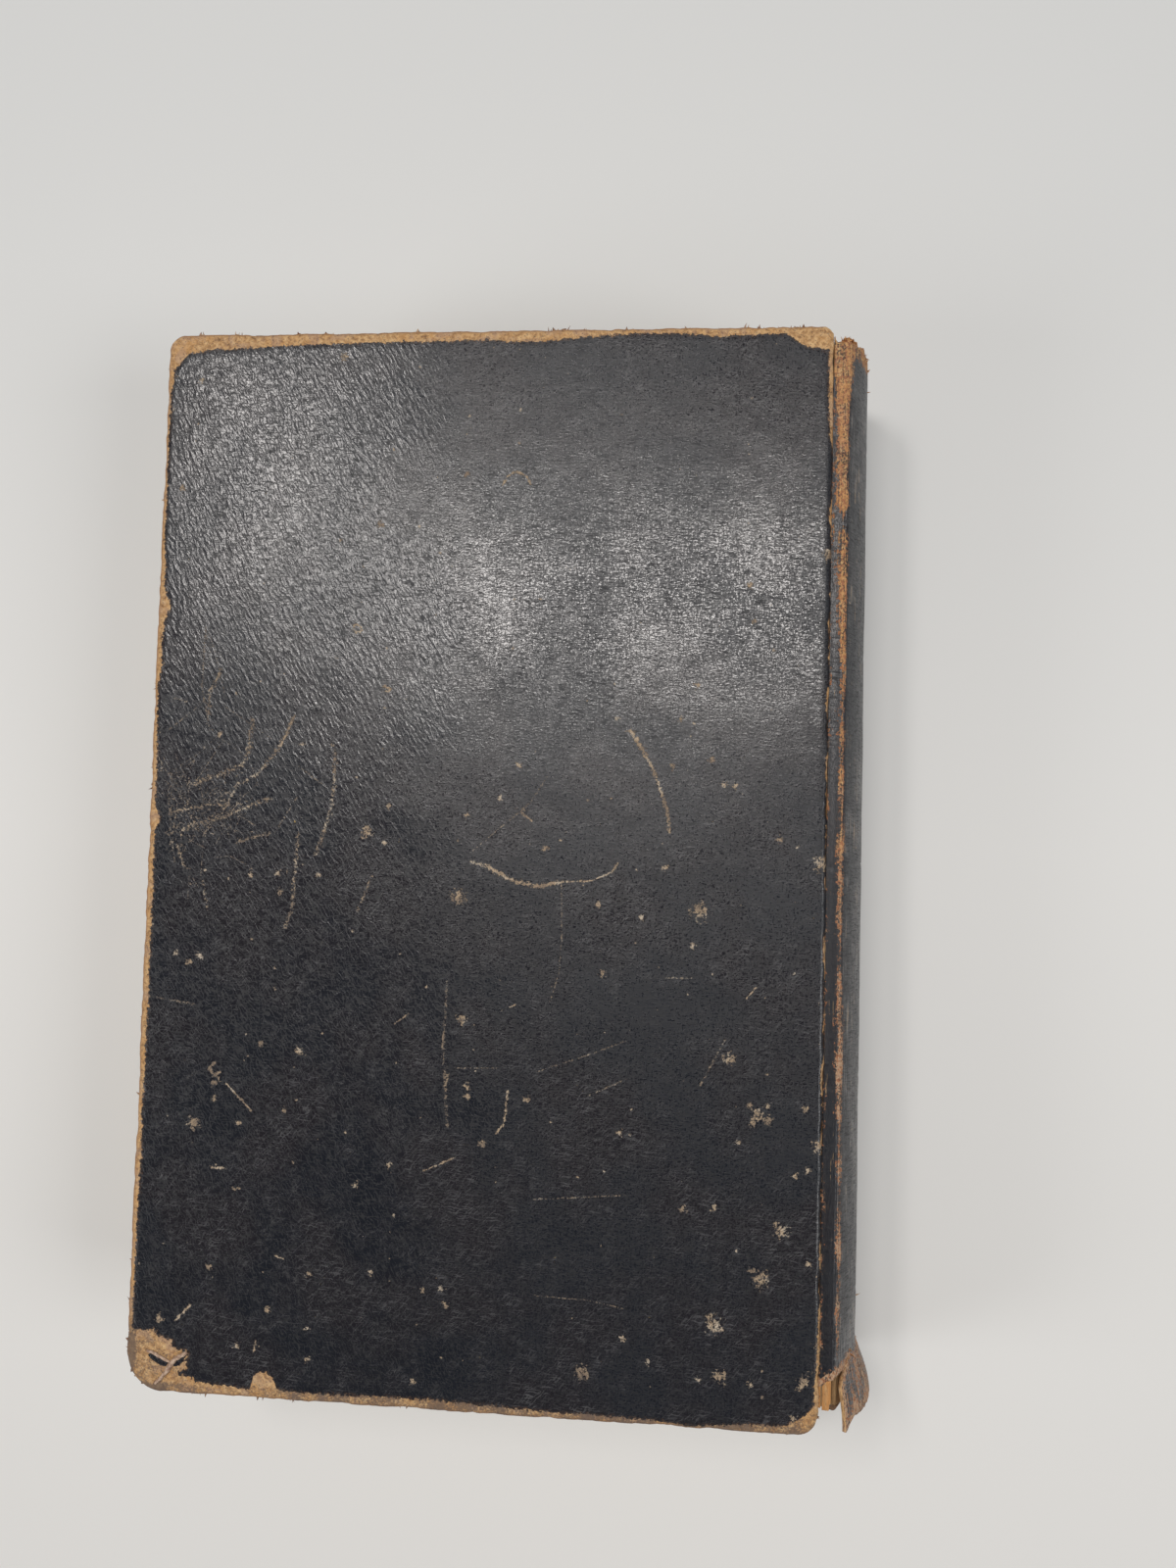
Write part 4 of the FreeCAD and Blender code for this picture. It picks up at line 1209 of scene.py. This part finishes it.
endpaper_paint, start, place = new_material("endpaper")
x, y, _ = place.shaken(14, 5).shaken(2.5, 1.2).parts()
towards_rim = (x - cover_middle[0]).unsigned().rise(61, 72).highest(y.unsigned().rise(106, 117))
clouds = place.noise(45, 7.0, 0.62)
foxing = place.shaken(6, 4).noise(1.6, 3.0, 0.6)
fibre = place.scaled(1.0, 0.25, 1.0).noise(0.4, 3.0, 0.6)
endpaper = clouds.ramp((0.35, (0.60, 0.50, 0.345)), (0.65, (0.68, 0.585, 0.425)))
endpaper = endpaper.mixed((0.36, 0.24, 0.125), towards_rim * (0.25 + clouds * 0.7))
endpaper = endpaper.mixed((0.38, 0.23, 0.11), (foxing + clouds * 0.2).rise(0.69, 0.79) * 0.7)
endpaper = endpaper.mixed((0.50, 0.41, 0.28), fibre.rise(0.5, 0.75) * 0.35)
finish_material(endpaper_paint, endpaper, 0.88, fibre * 0.05 + place.noise(6, 3.0) * 0.12)
dress(endpaper_paint, "back_flyleaf", "front_flyleaf", "back_pastedown", "front_pastedown")

board_paint, start, place = new_material("pasteboard")
layers = place.scaled(0.02, 0.02, 1.0).noise(0.4, 3.0, 0.6)
pulp = place.noise(0.9, 4.0, 0.7)
board = (layers * 0.5 + pulp * 0.5).ramp((0.38, (0.17, 0.12, 0.075)), (0.62, (0.36, 0.28, 0.19)))
finish_material(board_paint, board, 0.93, pulp * 0.15 + layers * 0.15)
dress(board_paint, "back_board", "front_board")

mull_paint, start, place = new_material("mull")
around, along = round_back(place)
mesh_gap = 1.1
threads_across = (around.sine(mesh_gap) * 0.5 + 0.5).highest(along.sine(mesh_gap) * 0.5 + 0.5)
glue = place.noise(3.5, 4.0, 0.6)
cloth = threads_across.ramp((0.55, (0.15, 0.085, 0.04)), (0.85, (0.46, 0.36, 0.23)))
cloth = cloth.mixed((0.17, 0.095, 0.04), glue.rise(0.45, 0.65) * 0.8)
finish_material(mull_paint, cloth, 0.85, threads_across * 0.2)
dress(mull_paint, "spine_mull")

tube_paint, start, place = new_material("tube_paper")
kraft = place.scaled(1.0, 0.3, 1.0).noise(0.9, 4.0, 0.65)
tube = kraft.ramp((0.35, (0.22, 0.125, 0.055)), (0.65, (0.42, 0.27, 0.13)))
finish_material(tube_paint, tube, 0.86, kraft * 0.12)
dress(tube_paint, "hollow_tube")

cord_paint, start, place = new_material("hemp_cord")
around, along = round_back(place)
strands = (around + along * 1.3).sine(1.7)
hemp = place.noise(0.3, 3.0, 0.6)
cord = (strands * 0.25 + hemp * 0.75 + 0.1).ramp((0.3, (0.17, 0.11, 0.055)), (0.7, (0.46, 0.35, 0.20)))
finish_material(cord_paint, cord, 0.9, strands * 0.15 + hemp * 0.1)
dress(cord_paint, *(f"sewing_cord_{number}" for number in range(1, 6)))

# Loose fibres: crumbs and thin torn strips of suede that stand up from the worn rims of the cover and from
# the ends and ridges of the spine. Each is a short bent strip, rooted in the leather.
fibre_rings = 6


def fibres_piece(name, roots, ways, lengths, widths, body, seed, material):
    """Tapered four-sided slivers: points along root + way * t + a sideways bend * t^2, with a flat section
    whose half width falls from width to nothing."""
    random = np.random.default_rng(seed)
    count = len(roots)
    t = np.linspace(-0.35, 1, fibre_rings)
    ways = ways / np.linalg.norm(ways, axis=1)[:, None]
    bend = random.normal(0, 0.25, (count, 3))
    line = (roots[:, None] + lengths[:, None, None] * (ways[:, None] * t[None, :, None]
            + bend[:, None] * np.clip(t, 0, 1)[None, :, None] ** 2))
    side = np.cross(ways, random.normal(0, 1, (count, 3)))
    side /= np.linalg.norm(side, axis=1)[:, None]
    other = np.cross(ways, side)
    half = widths[:, None, None] * (1.02 - np.clip(t, 0, 1) ** 1.5)[None, :, None]
    corners = [line + half * side[:, None], line + 0.4 * half * other[:, None],
               line - half * side[:, None], line - 0.4 * half * other[:, None]]
    points = np.stack(corners, axis=2).reshape(-1, 3)
    one = [(first + a, first + b, first + 4 + b, first + 4 + a)
           for first in range(0, 4 * fibre_rings - 4, 4) for a, b in ((0, 1), (1, 2), (2, 3), (3, 0))]
    one += [(3, 2, 1, 0), tuple(range(4 * fibre_rings - 4, 4 * fibre_rings))]
    faces = (np.arange(count)[:, None, None] * 4 * fibre_rings + np.array(one)).reshape(-1, 4)
    fibres = new_piece(name, points, faces.tolist(), [material], body)
    return fibres


head_clumps = [(205, 336), (238, 334), (243, 334), (302, 334), (331, 333), (430, 333), (560, 333),
               (575, 333), (597, 332), (642, 332), (700, 332), (762, 331), (775, 330), (797, 330),
               (806, 330), (818, 331)]
edge_clumps = [(183, 350), (172, 372), (158, 505), (152, 700), (148, 800), (146, 905), (140, 1120),
               (131, 1356), (126, 1366), (124, 1371), (126, 1378), (131, 1398), (138, 1410), (146, 1414),
               (203, 1425), (170, 620), (168, 640), (166, 681), (160, 745), (157, 860), (150, 1040),
               (135, 1286), (128, 1330), (205, 1426), (264, 1430), (295, 1430), (310, 1432), (410, 1440),
               (820, 1464), (836, 1450), (840, 1432)]
fibre_paint, start, place = new_material("loose_fibres")
tint = place.noise(2.0, 2.0)
fibre_colour = tint.ramp((0.36, (0.16, 0.07, 0.04)), (0.50, (0.38, 0.24, 0.16)), (0.66, (0.54, 0.40, 0.28)))
fibre_colour = fibre_colour.mixed((0.05, 0.035, 0.03), place.noise(0.4, 3.0, 0.6).rise(0.55, 0.65) * 0.6)
finish_material(fibre_paint, fibre_colour, 0.95, place.noise(0.3, 3.0) * 0.15)
chance = np.random.default_rng(77)
cover_side = back_points[(edge_share >= 1) & (back_points[:, 2] > level - 2.6)]
nearest = [cover_side[np.argmin(np.hypot(*(cover_side[:, :2] - spot).T))]
           for spot in np.repeat(at_level(head_clumps + edge_clumps, level), 3, axis=0)]
on_head_or_fore = (cover_side[:, 1] > cover_high[1] - 1) | (cover_side[:, 0] < cover_low[0] + 1)
likely = 0.4 + on_head_or_fore
anywhere = cover_side[chance.choice(len(cover_side), 420, p=likely / likely.sum())]
roots = np.concatenate([nearest, anywhere])
from_middle = (roots[:, :2] - cover_middle[:2]) / cover_half
out = np.where(np.abs(from_middle) > 0.97, np.sign(from_middle), 0)
roots[:, :2] += chance.normal(0, 0.6, out.shape) * (out == 0) - 0.15 * out
ways = np.column_stack([out, chance.uniform(-0.4, 0.6, len(roots))]) + chance.normal(0, 0.5, roots.shape)
lengths = np.concatenate([chance.uniform(0.45, 1.2, len(nearest)), chance.uniform(0.25, 0.6, len(anywhere))])
widths = lengths * chance.uniform(0.3, 0.6, len(roots))
fibres_piece("cover_fibres", roots, ways, lengths, widths, "back_cover", 78, fibre_paint)

spine_fibre_paint, start, place = new_material("spine_fibres")
tint = place.noise(1.2, 3.0, 0.6)
fibre_colour = tint.ramp((0.36, (0.14, 0.04, 0.02)), (0.50, (0.42, 0.18, 0.06)), (0.66, (0.58, 0.34, 0.14)))
finish_material(spine_fibre_paint, fibre_colour, 0.95, place.noise(0.3, 3.0) * 0.15)
spots_on_spine = [(ridge_step - 10 + 45 * chance.random(), spine_head - 0.2) for _ in range(110)]
spots_on_spine += [(step_of(30 * chance.uniform(-1, 1)), spine_head - 0.2) for _ in range(90)]
edge_spots = (119, 117, 8.5, 6, 4.5, 3.8, -12, -101, -108, -110, -117)
spots_on_spine += [(step_of(chance.uniform(-2, 14)), y) for y in edge_spots]
spots_on_spine += [(joined_step + chance.uniform(-4, 10), tear_top + chance.uniform(-1.5, 1.5))
                   for _ in range(12)]
spots_on_spine += [(step_of(chance.uniform(-2, 22)), spine_tail + 2.2) for _ in range(14)]
spots_on_spine += [(step_of(chance.uniform(-3, 9)), chance.uniform(spine_tail + 1, tear_top - 2))
                   for _ in range(36)]
step, y = np.array(spots_on_spine).T
angle = np.radians(np.interp(step, steps, profile_angle))
lift = flare(step, y) * (y < tear_top)
out = columns(np.cos(angle), 0, np.sin(angle))
x, z = on_line(step, steps, profile).T
roots = columns(x, y, z) + (lift - 0.4)[:, None] * out
ways = out * chance.uniform(-0.2, 1.0, (len(y), 1)) + 0.9 * columns(0, np.sign(y), 0)
ways += chance.normal(0, 0.5, ways.shape)
fibres_piece("spine_fibres", roots, ways, chance.uniform(0.4, 1.3, len(y)), chance.uniform(0.15, 0.4, len(y)),
             "book_block", 79, spine_fibre_paint)
